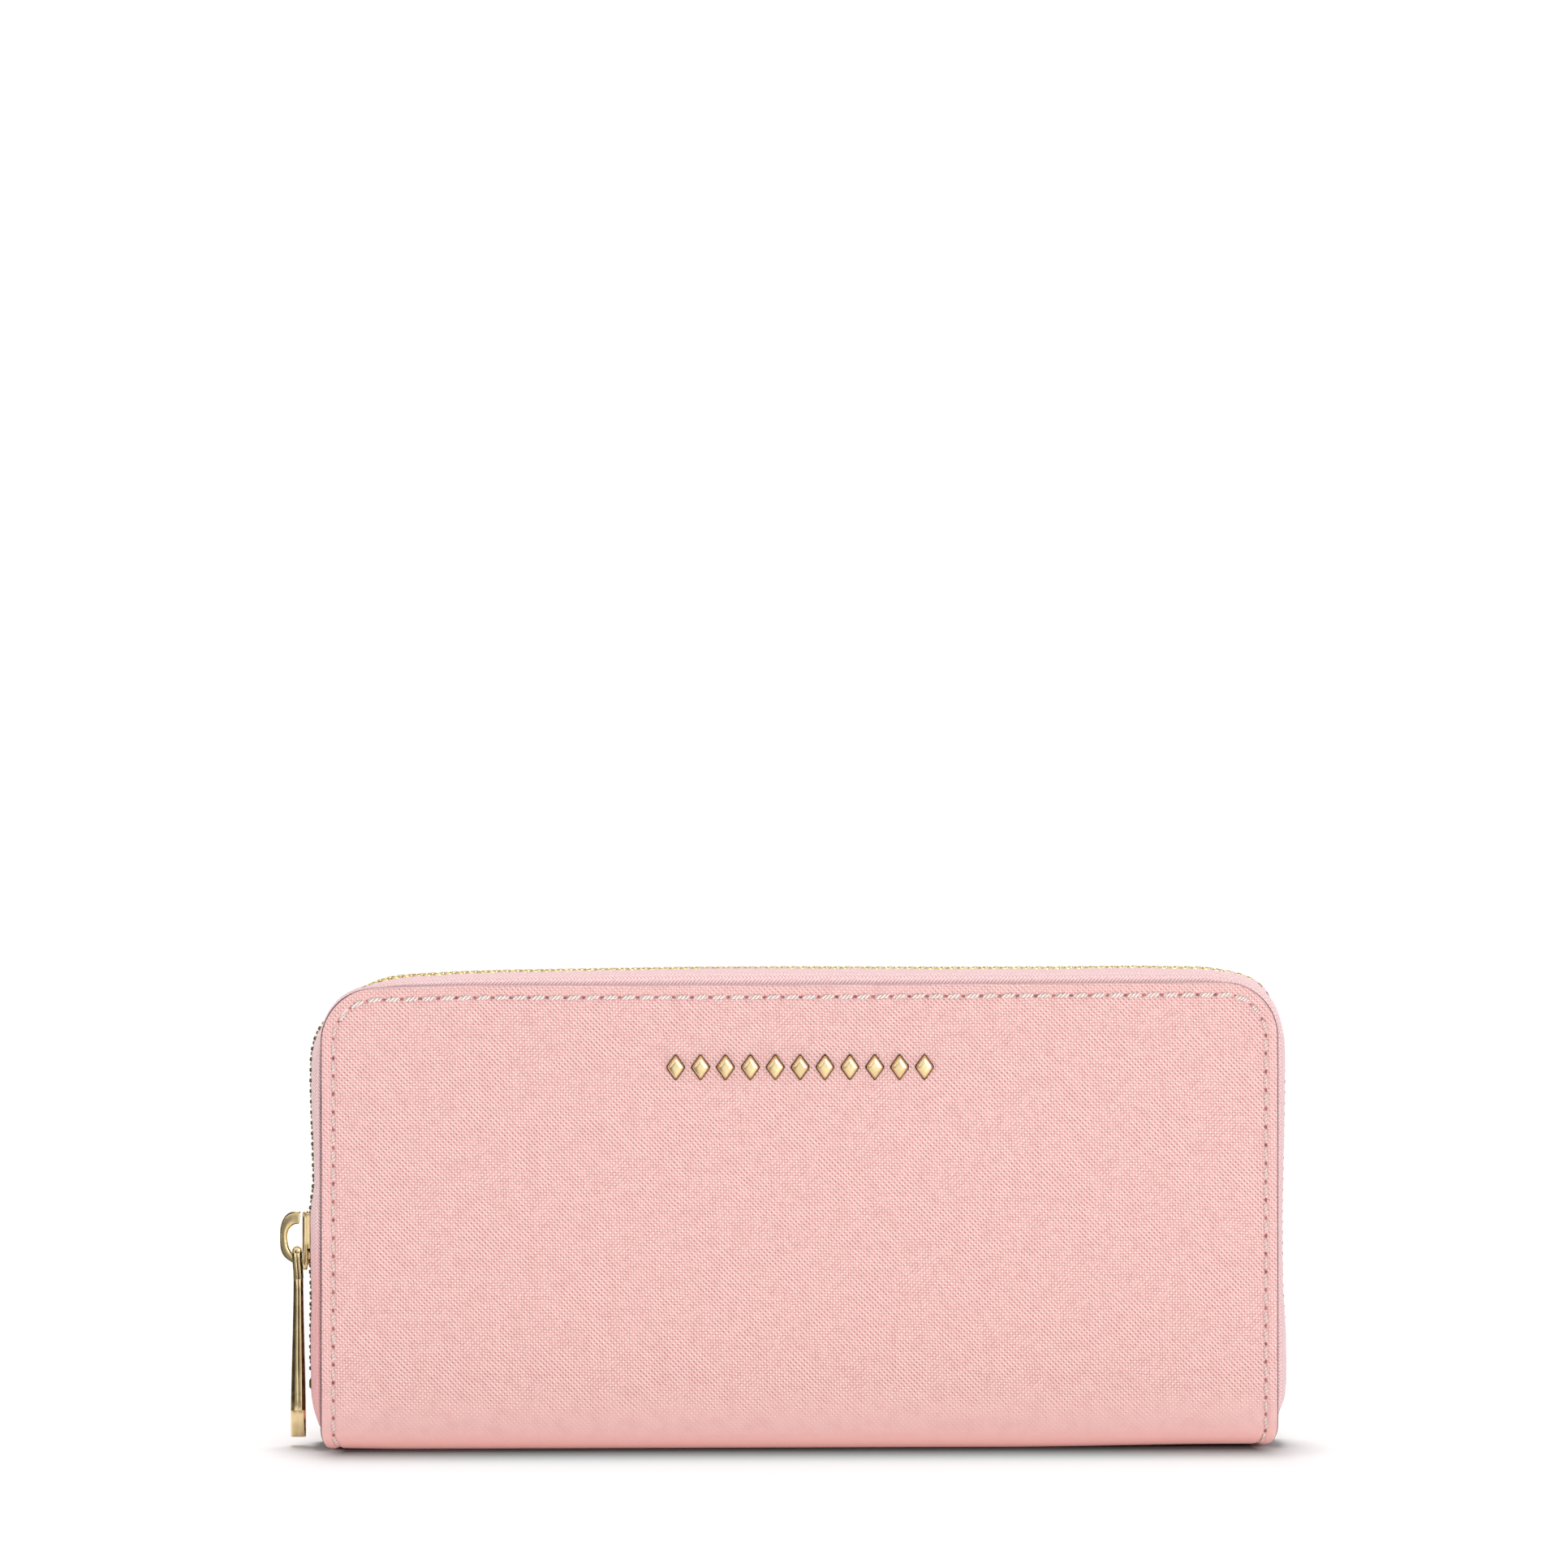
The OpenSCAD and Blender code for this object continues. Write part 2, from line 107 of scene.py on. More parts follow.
COIN_PULLER_L = node_box("coin_puller")[1].x - COIN_PIVOT.x
STUD_LOW, STUD_HIGH = node_box("front_studs")

# Sizes of details, which no node's box gives
CORNER_R = 11
TAPE_R = 15.6
SEAM_INSET = 2.6
STITCH_PITCH = 3.7
STITCH_L = 2.9
SEAM_Z0 = 6
TOOTH_PITCH = 2.2
TEETH_Z0 = 15.5
STOP_Z = 13.0
TAPER_FROM = -6
TAPER_TO = 4
FOLD_RUN = FOLD_R * math.pi / 2
SPINE_START = FOLD_R - FOLD_RUN - HINGE_Y
SIDES = (("front", 1), ("back", -1))


# ---------------------------------------------------------------- small helpers
def srgb(red, green, blue):
    """A colour given in 0 to 255 steps, as the linear values that shaders take."""
    def linear(value):
        value /= 255
        return value / 12.92 if value <= 0.04045 else ((value + 0.055) / 1.055) ** 2.4
    return (linear(red), linear(green), linear(blue), 1)


def smooth(value, start, end):
    """0 before start, 1 after end, and an even curve between them."""
    share = min(max((value - start) / (end - start), 0), 1)
    return share * share * (3 - 2 * share)


def wander(x, z, size, seed=0.0):
    """Gentle noise from -1 to 1 that changes over about size millimetres."""
    return noise.noise(Vector((x / size, z / size, 7.3 + seed)))


def circle(count):
    """Points at equal steps round a circle of radius 1."""
    angles = [2 * math.pi * i / count for i in range(count)]
    return [(math.cos(angle), math.sin(angle)) for angle in angles]


def runs_of(points):
    """How far along a line each of its points lies."""
    runs = [0.0]
    for p, q in zip(points, points[1:]):
        runs.append(runs[-1] + math.dist(p, q))
    return runs


def normals_of(line):
    """A unit normal at each point of a flat line, square to the chord between its neighbours."""
    found = []
    for i in range(len(line)):
        before, after = line[max(i - 1, 0)], line[min(i + 1, len(line) - 1)]
        da, db = after[0] - before[0], after[1] - before[1]
        size = math.hypot(da, db)
        found.append((-db / size, da / size))
    return found


def thickened(line, halves):
    """A closed section: a flat line moved out to both sides by the half thicknesses given."""
    sides = []
    for turn in (1, -1):
        sides.append([(a + turn * na * half, b + turn * nb * half)
                      for (a, b), (na, nb), half in zip(line, normals_of(line), halves)])
    return sides[0] + sides[1][::-1]


def off_rim(x0, z0, angle, run, out):
    """The point that lies run along a rim and out beyond it from (x0, z0)."""
    return (x0 + math.cos(angle) * run + math.sin(angle) * out,
            z0 - math.sin(angle) * run + math.cos(angle) * out)


def linked(name, data):
    """A new object of the scene."""
    obj = bpy.data.objects.new(name, data)
    scene.collection.objects.link(obj)
    return obj


def unseen(obj, *kinds):
    """Hides an object from rays of these kinds."""
    for kind in kinds:
        setattr(obj, "visible_" + kind, False)


def between_keys(keys, places):
    """Values at the places, read from a list of (place, value) keys."""
    return np.interp(places, [key[0] for key in keys], [key[1] for key in keys])


class Rim:
    """A line round the three free sides of a cover, with corners of radius r.

    A station is the distance along it from the table on the left side; u is the distance
    outside the line. The angle is the outward direction's, from straight up.
    """

    def __init__(self, r):
        self.r = r
        self.side = COVER_H - r
        self.turn = r * math.pi / 2
        self.top = 2 * (HALF_W - r)
        self.length = 2 * (self.side + self.turn) + self.top

    def at(self, station, u=0.0):
        """The x, the height and the outward direction's angle of a point."""
        if station > self.length / 2:
            x, z, angle = self.at(self.length - station, u)
            return -x, z, -angle
        if station < self.side:
            return -HALF_W - u, station, -math.pi / 2
        if station < self.side + self.turn:
            angle = (station - self.side) / self.r - math.pi / 2
            reach = self.r + u
            return (self.r - HALF_W + reach * math.sin(angle),
                    COVER_H - self.r + reach * math.cos(angle), angle)
        return station - self.side - self.turn - self.top / 2, COVER_H + u, 0.0

    def spaced(self, pitch, u, z0, shift=0.0):
        """Stations whose points lie at equal steps along the line at u outside this one."""
        side = self.side - z0
        turn = (self.r + u) * math.pi / 2
        total = 2 * (side + turn) + self.top
        count = math.floor((total - pitch) / pitch)
        first = (total - count * pitch) / 2 + shift

        def station(run):
            if run > total / 2:
                return self.length - station(total - run)
            if run < side:
                return z0 + run
            if run < side + turn:
                return self.side + (run - side) * self.r / (self.r + u)
            return self.side + self.turn + run - side - turn
        return [station(first + i * pitch) for i in range(count + 1)]

    def stations(self, start, step):
        """Stations at about equal steps from start to the same height on the other side, one of
        them at each end of each corner."""
        marks = [start, self.side, self.side + self.turn,
                 self.side + self.turn + self.top,
                 self.side + 2 * self.turn + self.top, self.length - start]
        found = [marks[0]]
        for low, high in zip(marks, marks[1:]):
            count = max(1, round((high - low) / step))
            found += [low + (high - low) * (i + 1) / count for i in range(count)]
        return found


class Build:
    """Collects points and faces, in millimetres, and makes one mesh object of them."""

    def __init__(self):
        self.points = []
        self.faces = []
        self.slots = []
        self.uvs = []

    def add(self, points, faces, slot=0, uvs=None):
        """Adds points and faces. Where no uvs are given, x and z stand in for them."""
        base = len(self.points)
        self.points += [tuple(p) for p in points]
        self.uvs += list(uvs) if uvs is not None else [(p[0], p[2]) for p in points]
        self.faces += [tuple(base + i for i in face) for face in faces]
        self.slots += [slot] * len(faces) if isinstance(slot, int) else list(slot)

    def loft(self, rows, around=True, slot=0, uvs=None, flip=False):
        """Joins rows of points into a surface. around closes each row and both ends. slot is one
        material slot, or a list of one for each step along a row."""
        count = len(rows[0])
        by_step = slot if isinstance(slot, list) else [slot] * count
        faces, slots = [], []
        for low in range(0, (len(rows) - 1) * count, count):
            high = low + count
            for i in range(count if around else count - 1):
                n = (i + 1) % count
                faces.append((low + i, low + n, high + n, high + i))
                slots.append(by_step[i])
        if around:
            faces.append(tuple(reversed(range(count))))
            faces.append(tuple((len(rows) - 1) * count + i for i in range(count)))
            slots += [by_step[0]] * 2
        if flip:
            faces = [tuple(reversed(face)) for face in faces]
        self.add([p for row in rows for p in row], faces, slots,
                 [uv for row in uvs for uv in row] if uvs else None)

    def make(self, name, materials, weld=0.0, bevel=0.0, segments=2, smooth_angle=35):
        """The mesh object: welded, with its normals outward, bevelled and smoothed."""
        mesh = bpy.data.meshes.new(name)
        mesh.from_pydata([[c * MM for c in p] for p in self.points], [], self.faces)
        layer = mesh.uv_layers.new(name="Along")
        corner_points = np.zeros(len(mesh.loops), np.int32)
        mesh.loops.foreach_get("vertex_index", corner_points)
        layer.data.foreach_set("uv", np.array(self.uvs, np.float32)[corner_points].ravel())
        for material in materials:
            mesh.materials.append(material)
        mesh.polygons.foreach_set("material_index", np.array(self.slots, np.int32))
        obj = linked(name, mesh)
        work = bmesh.new()
        work.from_mesh(mesh)
        if weld:
            bmesh.ops.remove_doubles(work, verts=work.verts, dist=weld * MM)
        bmesh.ops.dissolve_degenerate(work, edges=work.edges, dist=1e-7)
        bmesh.ops.recalc_face_normals(work, faces=work.faces)
        work.to_mesh(mesh)
        work.free()
        if bevel:
            step = obj.modifiers.new("edges", "BEVEL")
            step.width = bevel * MM
            step.segments = segments
            step.limit_method = "ANGLE"
            step.angle_limit = math.radians(30)
            step.use_clamp_overlap = True
            apply_modifiers(obj)
        mesh = obj.data
        mesh.polygons.foreach_set("use_smooth", np.ones(len(mesh.polygons), bool))
        mesh.set_sharp_from_angle(angle=math.radians(smooth_angle))
        return obj


def apply_modifiers(obj):
    """Puts what the modifiers make of the object's mesh in its place."""
    bpy.context.view_layer.update()
    shaped = bpy.data.meshes.new_from_object(
        obj.evaluated_get(bpy.context.evaluated_depsgraph_get()))
    obj.modifiers.clear()
    obj.data = shaped


# ---------------------------------------------------------------- materials
class Value:
    """A number that a node gives. Arithmetic with it makes further nodes."""

    def __init__(self, tree, socket):
        self.tree = tree
        self.socket = socket

    def __add__(self, other):
        return self.tree.maths("ADD", self, other)

    def __sub__(self, other):
        return self.tree.maths("SUBTRACT", self, other)

    def __rsub__(self, other):
        return self.tree.maths("SUBTRACT", other, self)

    def __mul__(self, other):
        return self.tree.maths("MULTIPLY", self, other)

    def __truediv__(self, other):
        return self.tree.maths("DIVIDE", self, other)

    def __abs__(self):
        return self.tree.maths("ABSOLUTE", self)

    def waves(self, period):
        """Even waves from -1 to 1 along the value."""
        return self.tree.maths("SINE", self * (2 * math.pi / period))


class Tree:
    """A material's node tree, with short calls for the nodes used here."""

    def __init__(self, name):
        self.material = bpy.data.materials.new(name)
        self.material.use_nodes = True
        self.tree = self.material.node_tree
        self.shader = self.tree.nodes["Principled BSDF"]

    def feed(self, socket, value):
        """Links the value to the socket, or sets it there if it is a plain number or colour."""
        if isinstance(value, Value):
            value = value.socket
        if hasattr(value, "is_linked"):
            self.tree.links.new(value, socket)
        else:
            socket.default_value = value

    def node(self, kind, inputs=None, **settings):
        """A new node. inputs are what to feed its sockets, by the socket's name or number."""
        made = self.tree.nodes.new("ShaderNode" + kind)
        for key, value in settings.items():
            setattr(made, key, value)
        for socket, value in (inputs or {}).items():
            self.feed(made.inputs[socket], value)
        return made

    def maths(self, operation, first, second=0.0):
        made = self.node("Math", {0: first, 1: second}, operation=operation)
        return Value(self, made.outputs[0])

    def ramp(self, value, low, high, start=0.0, end=1.0):
        """start up to low, end from high on, and an even curve between them."""
        made = self.node("MapRange", {0: value, 1: low, 2: high, 3: start, 4: end},
                         interpolation_type="SMOOTHSTEP")
        return Value(self, made.outputs[0])

    def mix(self, share, first, second):
        """The first colour at a share of 0, the second at 1."""
        return self.node("Mix", {0: share, 6: first, 7: second}, data_type="RGBA").outputs[2]

    def noise(self, where, scale, detail=2.0, roughness=0.5):
        """Noise from 0 to 1, about 0.5 on average. scale is how many bumps fit in one unit."""
        made = self.node("TexNoise", {"Vector": where, "Scale": scale, "Detail": detail,
                                      "Roughness": roughness})
        return Value(self, made.outputs[0])

    def along(self):
        """The piece's own coordinates, in millimetres along and across it."""
        return self.node("UVMap", uv_map="Along").outputs[0]

    def in_place(self):
        """Where a point of the piece is in the scene, in metres."""
        return self.node("TexCoord").outputs["Object"]

    def split(self, vector):
        made = self.node("SeparateXYZ", {0: vector})
        return [Value(self, socket) for socket in made.outputs]

    def shifted(self, vector, size, amount):
        """The vector pushed about by noise of that size, by up to amount."""
        made = self.node("TexNoise", {"Vector": vector, "Scale": 1 / size, "Detail": 1.0})
        centred = self.node("VectorMath", {0: made.outputs["Color"], 1: (0.5, 0.5, 0.5)},
                            operation="SUBTRACT")
        scaled = self.node("VectorMath", {0: centred.outputs[0], "Scale": amount},
                           operation="SCALE")
        total = self.node("VectorMath", {0: vector, 1: scaled.outputs[0]}, operation="ADD")
        return total.outputs[0]

    def bump(self, height, depth, strength=1.0):
        """A bump whose height of 1 is depth millimetres."""
        made = self.node("Bump", {"Strength": strength, "Distance": depth * MM, "Height": height})
        return made.outputs[0]

    def show(self, shader):
        """Makes this shader the surface, in place of the one that comes with a material."""
        self.feed(self.tree.nodes["Material Output"].inputs["Surface"], shader.outputs[0])
        return self.material

    def finish(self, colour, roughness, normal=None, **settings):
        self.feed(self.shader.inputs["Base Color"], colour)
        self.feed(self.shader.inputs["Roughness"], roughness)
        if normal is not None:
            self.feed(self.shader.inputs["Normal"], normal)
        for name, value in settings.items():
            self.shader.inputs[name.replace("_", " ")].default_value = value
        return self.material


def saffiano(name, light, base, pit, line_pitch=0.76, depth=0.05, cover=True):
    """Cross-hatched leather: slanting lines pressed over others that slant the other way, which
    leaves rows of small raised dots. Most lines run down to the right."""
    tree = Tree(name)
    where = tree.along()
    x, z, _ = tree.split(tree.shifted(where, 5.0, 0.5))
    first = (x + z).waves(line_pitch * math.sqrt(2))
    second = (x - z).waves(line_pitch * 1.04 * math.sqrt(2))
    each = tree.ramp(tree.noise(where, 0.75, 2.0, 0.6), 0.3, 0.7, 0.5, 1.4)
    dots = first * second * each
    streaks = tree.ramp(tree.noise(where, 0.1, 3.0, 0.6), 0.3, 0.62, 0.4, 0.95)
    lines = first * streaks + second * (0.95 - streaks)
    grit = tree.noise(where, 2.4, 2.0, 0.6) - 0.5
    height = dots * 0.66 + lines * each * 0.55 + grit * 1.1
    if cover:
        # Smoother towards the fold, and between the seam and the edge
        across, up, _ = tree.split(where)
        strength = tree.ramp(up, 4.0, 15.0, 0.18, 1.0)
        margin = tree.maths("MINIMUM", HALF_W - abs(across), COVER_H - up)
        strength = strength * tree.ramp(margin, 1.6, 4.0, 0.7, 1.0)
        height = height * strength
    # The raised dots and lines are lighter and the pits darker: partly the grain's own tone, partly
    # painted highlight and shade on its relief
    colour = tree.mix(tree.ramp(height, -0.7, 0.0), pit, base)
    colour = tree.mix(tree.ramp(height, 0.0, 0.7), colour, light)
    patches = tree.ramp(tree.noise(where, 0.3, 3.0, 0.65), 0.4, 0.7)
    colour = tree.mix(patches * 0.16, colour, pit)
    if cover:
        # Painted light: the leather is lighter and a little redder down round the fold, where it
        # turns away from the light
        fold = tree.ramp(up, 0.5, 5.0, 0.9, 0.0)
        colour = tree.mix(fold, colour, PINK_FOLD_LIT)
    rough = tree.ramp(height, -0.6, 0.6, 0.56, 0.42)
    return tree.finish(colour, rough, tree.bump(height, depth, 1.0), Specular_IOR_Level=0.35)


def edge_paint(name):
    """The dull paint on the leather's cut edges: darkest on the sides, with painted light that
    lightens it along the top and towards the right.
    """
    tree = Tree(name)
    where = tree.in_place()
    patches = tree.ramp(tree.noise(where, 140, 3.0), 0.35, 0.7)
    colour = tree.mix(patches, srgb(80, 48, 58), srgb(122, 84, 92))
    across, _, height = tree.split(where)
    # Painted light from above: lighter along the top edge
    top = tree.ramp(height, (COVER_H - 3) * MM, COVER_H * MM, 0.0, 0.85)
    colour = tree.mix(top, colour, srgb(184, 148, 150))
    # Painted light from the right: a little lighter towards the right side
    right = tree.ramp(across, 0.0, HALF_W * MM, 0.0, 0.2)
    colour = tree.mix(right, colour, srgb(168, 124, 128))
    return tree.finish(colour, 0.38, tree.bump(tree.noise(where, 900, 2.0), 0.05, 0.6))


def herringbone(name, light, dark, painted_shade):
    """Woven zip tape: narrow rows of slanting yarns that turn the other way in each row. Beside the
    left side's lower end it is painted redder: painted shade, with the leather's pink in it."""
    tree = Tree(name)
    where = tree.shifted(tree.along(), 5.0, 0.16)
    run, across, _ = tree.split(where)
    row_w, yarn = 1.3, 0.72
    turn = tree.maths("PINGPONG", across / row_w, 1.0)
    yarns = (run + turn * row_w).waves(yarn)
    knots = yarns * across.waves(row_w)
    fuzz = tree.noise(where, 2.2, 3.0, 0.65) - 0.5
    height = yarns * 0.42 + knots * 0.3 + fuzz * 1.3
    colour = tree.mix(tree.ramp(height, -0.6, 0.6), dark, light)
    # Painted shade: redder towards the left side's lower end
    low = tree.ramp(tree.split(tree.along())[0], 28.0, 50.0, 0.6, 0.0)
    colour = tree.mix(low, colour, painted_shade)
    return tree.finish(colour, 0.72, tree.bump(height, 0.09, 1.0),
                       Sheen_Weight=0.2, Sheen_Roughness=0.5, Specular_IOR_Level=0.25)


def plated(name, smears, roughness, dull, bright, sides=None):
    """Polished gold plate with faint smears and very fine scratches. smears are the noise's scale
    and roughness, and sides is a darker colour painted on at the wallet's two sides, as painted
    shade."""
    tree = Tree(name)
    where = tree.in_place()
    smear = tree.noise(where, smears[0], 3.0, smears[1])
    colour = tree.mix(tree.ramp(smear, 0.3, 0.7), dull, bright)
    # Painted shade: darker towards the wallet's two sides
    if sides is not None:
        across = abs(tree.split(where)[0])
        share = tree.ramp(across, (HALF_W - 4) * MM, HALF_W * MM, 0.0, 0.85)
        colour = tree.mix(share, colour, sides)
    rough = tree.ramp(smear, 0.2, 0.8, *roughness)
    fine = tree.noise(where, 2600, 2.0)
    return tree.finish(colour, rough, tree.bump(fine, 0.004, 0.25), Metallic=1.0)


def thread_material(name):
    tree = Tree(name)
    where = tree.in_place()
    fibres = tree.noise(where, 4200, 2.0, 0.7)
    x, _, z = tree.split(where)
    shade = (x - z).waves(0.8 * MM) * 0.3 + fibres
    colour = tree.mix(tree.ramp(shade, 0.15, 0.6), srgb(196, 164, 156), srgb(255, 250, 246))
    # On the sides the thread has taken on more of the leather's colour
    edge = (HALF_W - SEAM_INSET - 0.9) * MM
    side = tree.ramp(abs(x), edge - 0.001, edge, 0.0, 0.4)
    colour = tree.mix(side, colour, srgb(232, 190, 184))
    return tree.finish(colour, 0.55, tree.bump(fibres, 0.05, 0.7),
                       Sheen_Weight=0.2, Specular_IOR_Level=0.35)


def twill(name, light, dark):
    """Lining cloth with fine slanting ribs."""
    yarn = 0.42
    tree = Tree(name)
    where = tree.shifted(tree.along(), 7.0, 0.2)
    x, z, _ = tree.split(where)
    ribs = (x + z * 0.8).waves(yarn * 1.28)
    cross = z.waves(yarn)
    share = ribs * 0.35 + cross * 0.15 + tree.noise(where, 0.9, 4.0)
    colour = tree.mix(tree.ramp(share, 0.1, 0.95), dark, light)
    return tree.finish(colour, 0.62, tree.bump(share, 0.06, 0.8),
                       Sheen_Weight=0.35, Sheen_Roughness=0.45, Specular_IOR_Level=0.3)


def suede(name, light, dark):
    """The leather's flesh side: dull, mottled and slightly fibrous."""
    tree = Tree(name)
    where = tree.in_place()
    mottle = tree.noise(where, 220, 5.0, 0.65)
    fibres = tree.noise(where, 2200, 3.0, 0.7)
    share = mottle * 0.6 + fibres * 0.4
    colour = tree.mix(tree.ramp(share, 0.3, 0.7), dark, light)
    return tree.finish(colour, 0.88, tree.bump(fibres, 0.08, 0.8), Sheen_Weight=0.4)


def mottled(name, dark, light, grain, rough, depth, strength):
    """A dull, patchy surface. grain is its noise's scale, detail and roughness."""
    tree = Tree(name)
    patches = tree.noise(tree.in_place(), *grain)
    colour = tree.mix(tree.ramp(patches, 0.3, 0.7), dark, light)
    return tree.finish(colour, rough, tree.bump(patches, depth, strength))


# PINK_LIGHT is the raised grain and PINK_PIT its pits: partly their own tone, partly painted
# highlight and shade. PINK_PIT also darkens random patches
PINK_LIGHT = srgb(250, 224, 219)
PINK = srgb(235, 188, 184)
PINK_PIT = srgb(204, 138, 136)
# Painted light for the fold, where it turns down towards the floor
PINK_FOLD_LIT = srgb(255, 200, 193)
leather = saffiano("outer_leather", PINK_LIGHT, PINK, PINK_PIT)
pocket_leather = saffiano("pocket_leather", srgb(240, 208, 203), srgb(230, 188, 184),
                          srgb(214, 160, 156), line_pitch=0.62, depth=0.035, cover=False)
paint = edge_paint("edge_paint")
flesh = suede("leather_inside", srgb(232, 190, 182), srgb(212, 160, 152))
# The third colour is the painted shade at the left side's lower end
tape_cloth = herringbone("zip_tape_cloth", srgb(252, 232, 230), srgb(222, 160, 165),
                         srgb(232, 156, 154))
gold = plated("pale_gold", smears=(260, 0.6), roughness=(0.12, 0.2),
              dull=srgb(226, 203, 153), bright=srgb(243, 219, 169))
# A darker gold for bevels and rounded edges, the sides of grooves and the studs' rims
dark_gold = plated("darker_gold", smears=(420, 0.65), roughness=(0.16, 0.3),
                    dull=srgb(84, 70, 44), bright=srgb(128, 108, 70))
# The teeth's darker colour at the wallet's sides is painted shade
teeth_gold = plated("teeth_gold", smears=(900, 0.65), roughness=(0.16, 0.3),
                    dull=srgb(206, 178, 110), bright=srgb(238, 218, 158), sides=srgb(96, 82, 50))
thread = thread_material("thread")
# Painted shade in the needle holes: darker red than the leather round them
hole_shade = mottled("stitch_hole_shade", srgb(146, 82, 78), srgb(196, 128, 122),
               grain=(1500, 2.0, 0.5), rough=0.7, depth=0.05, strength=0.5)
lining_cloth = twill("lining_twill", srgb(240, 204, 198), srgb(216, 164, 158))
board = mottled("grey_board", srgb(168, 160, 150), srgb(206, 199, 188),
                grain=(900, 5.0, 0.7), rough=0.9, depth=0.08, strength=0.6)

# ---------------------------------------------------------------- camera
camera_data = bpy.data.cameras.new("camera")
camera = linked("camera", camera_data)
scene.camera = camera
CAMERA_HEIGHT = 136.4
CAMERA_PLACE = Vector((-60, -1500, CAMERA_HEIGHT))
CAMERA_AIM = Vector((-3.3, -HALF_T, CAMERA_HEIGHT))
FRAME_WIDTH = 321.2
SENSOR_WIDTH = 36
camera.location = CAMERA_PLACE * MM
aim = CAMERA_AIM - CAMERA_PLACE
camera.rotation_euler = aim.to_track_quat("-Z", "Y").to_euler()
camera_data.sensor_width = SENSOR_WIDTH
camera_data.lens = SENSOR_WIDTH * aim.length / FRAME_WIDTH
camera_data.clip_start = 0.05
camera_data.clip_end = 60


# ---------------------------------------------------------------- leather covers
RIGHT_LIFT = 0.5
LEFT_LIFT = 0.25


def settle(point):
    """Lifts the ends of the wallet's foot a little, the right one more, as worn-in leather does."""
    x, y, z = point
    lift = RIGHT_LIFT * smooth(x, 42, 88) + LEFT_LIFT * smooth(-x, 80, HALF_W)
    return (x, y, z + lift * (1 - smooth(z, 2, 14)))


def taper(v):
    """How much the leather is drawn in at its ends, down round the fold."""
    return 1 - (1 - SPINE_HALF_W / HALF_W) * (1 - smooth(v, TAPER_FROM, TAPER_TO))


# The leather is a little wider than its board, mostly on the right
WIDER = 1.0023
ASIDE = 0.12
# How far the top edge lies below its nominal height, by x: it falls a little to the left
FALL_KEYS = [(-98, 0.35), (-89, 0.25), (-81, 0.0), (-70, -0.28), (0, -0.35), (30, -0.5),
             (82, -0.75), (88, -0.75), (98, -0.6)]


def arch(x, z):
    """How far a point of the upper half lies below its nominal height."""
    return float(between_keys(FALL_KEYS, x)) * smooth(z, 50, COVER_H)


def wrapped(x, v, depth):
    """A point of the front half's leather. v is the height up the cover, carried on down
    round the fold and under the spine. depth is the distance in from the outer face."""
    if v >= FOLD_R:
        y, z = -HALF_T + depth, v
    elif v >= FOLD_R - FOLD_RUN:
        angle = (FOLD_R - v) / FOLD_R
        y = -HINGE_Y - (FOLD_R - depth) * math.cos(angle)
        z = FOLD_R - (FOLD_R - depth) * math.sin(angle)
    else:
        y, z = -HINGE_Y + (FOLD_R - FOLD_RUN - v), depth
    return (x * taper(v) * WIDER + ASIDE, y, z - arch(x, z))


SWELL = 0.22
CROWN_INSET = 4


def crown(x, v):
    """How far the cover swells out in its middle, with a few shallow waves."""
    across = max(0, 1 - (x / (HALF_W - CROWN_INSET)) ** 2)
    up = smooth(v, 6, 30) * (1 - smooth(v, COVER_H - 26, COVER_H - CROWN_INSET))
    shallow = 0.14 * wander(x, v, 34, 2.0) + 0.05 * wander(x, v, 13, 5.0)
    return (SWELL * across + shallow * min(1, across * 3)) * up


def panel(build, rim, edge, step, profile, place, slots, turn):
    """A slab with three free sides, from the middle of the spine up. Rings round its rim follow
    profile, a list of (inset, depth) points from the outer face round the edge to the inner face,
    and a grid fills the middle."""
    stations = rim.stations(SPINE_START, step)
    rows, uvs = [], []
    for station in stations:
        row, uv = [], []
        for inset, deep in profile:
            x, v, _ = rim.at(station, edge - inset)
            row.append(place(x, v, deep))
            uv.append((x * turn, v))
        rows.append(row)
        uvs.append(uv)
    build.loft(rows, around=False, slot=slots, uvs=uvs)
    inner = profile[0][0]
    left = [s for s in stations if s <= rim.side + rim.turn + 1e-6]
    count = round(rim.top / step)
    columns = [rim.top * (i / count - 0.5) for i in range(count + 1)]
    both_faces = ((profile[0][1], slots[0], False), (profile[-1][1], slots[-1], True))
    for deep, slot, flip in both_faces:
        rows, uvs = [], []
        for station in left:
            x, v, _ = rim.at(station, edge - inner)
            across = [x, *columns, -x]
            rows.append([place(column, v, deep) for column in across])
            uvs.append([(column * turn, v) for column in across])
        build.loft(rows, around=False, slot=slot, uvs=uvs, flip=flip)
    # The slab's foot, from one ring across the middle to the other
    x, v, _ = rim.at(SPINE_START, edge - inner)
    build.loft([[place(column, v, deep) for column in (x, *columns, -x)]
                for deep, _, _ in both_faces], around=False, slot=slots[-1])
    for station, flip in ((SPINE_START, False), (rim.length - SPINE_START, True)):
        end = [place(*rim.at(station, edge - inset)[:2], deep) for inset, deep in profile]
        order = range(len(end))
        build.add(end, [tuple(reversed(order) if flip else order)], slots[-1])


GROOVE_DEPTH = 0.3
GROOVE_W = 0.5
RIDGE_INSET = 1.35
RIDGE_RISE = 0.05
EDGE_ROUND = LEATHER_T / 2


def groove(inset):
    """How deep the seam presses the leather in, less the slight ridge between it and the edge."""
    press = GROOVE_DEPTH * math.exp(-((inset - SEAM_INSET) / GROOVE_W) ** 2)
    return press - RIDGE_RISE * math.exp(-((inset - RIDGE_INSET) / GROOVE_W) ** 2)


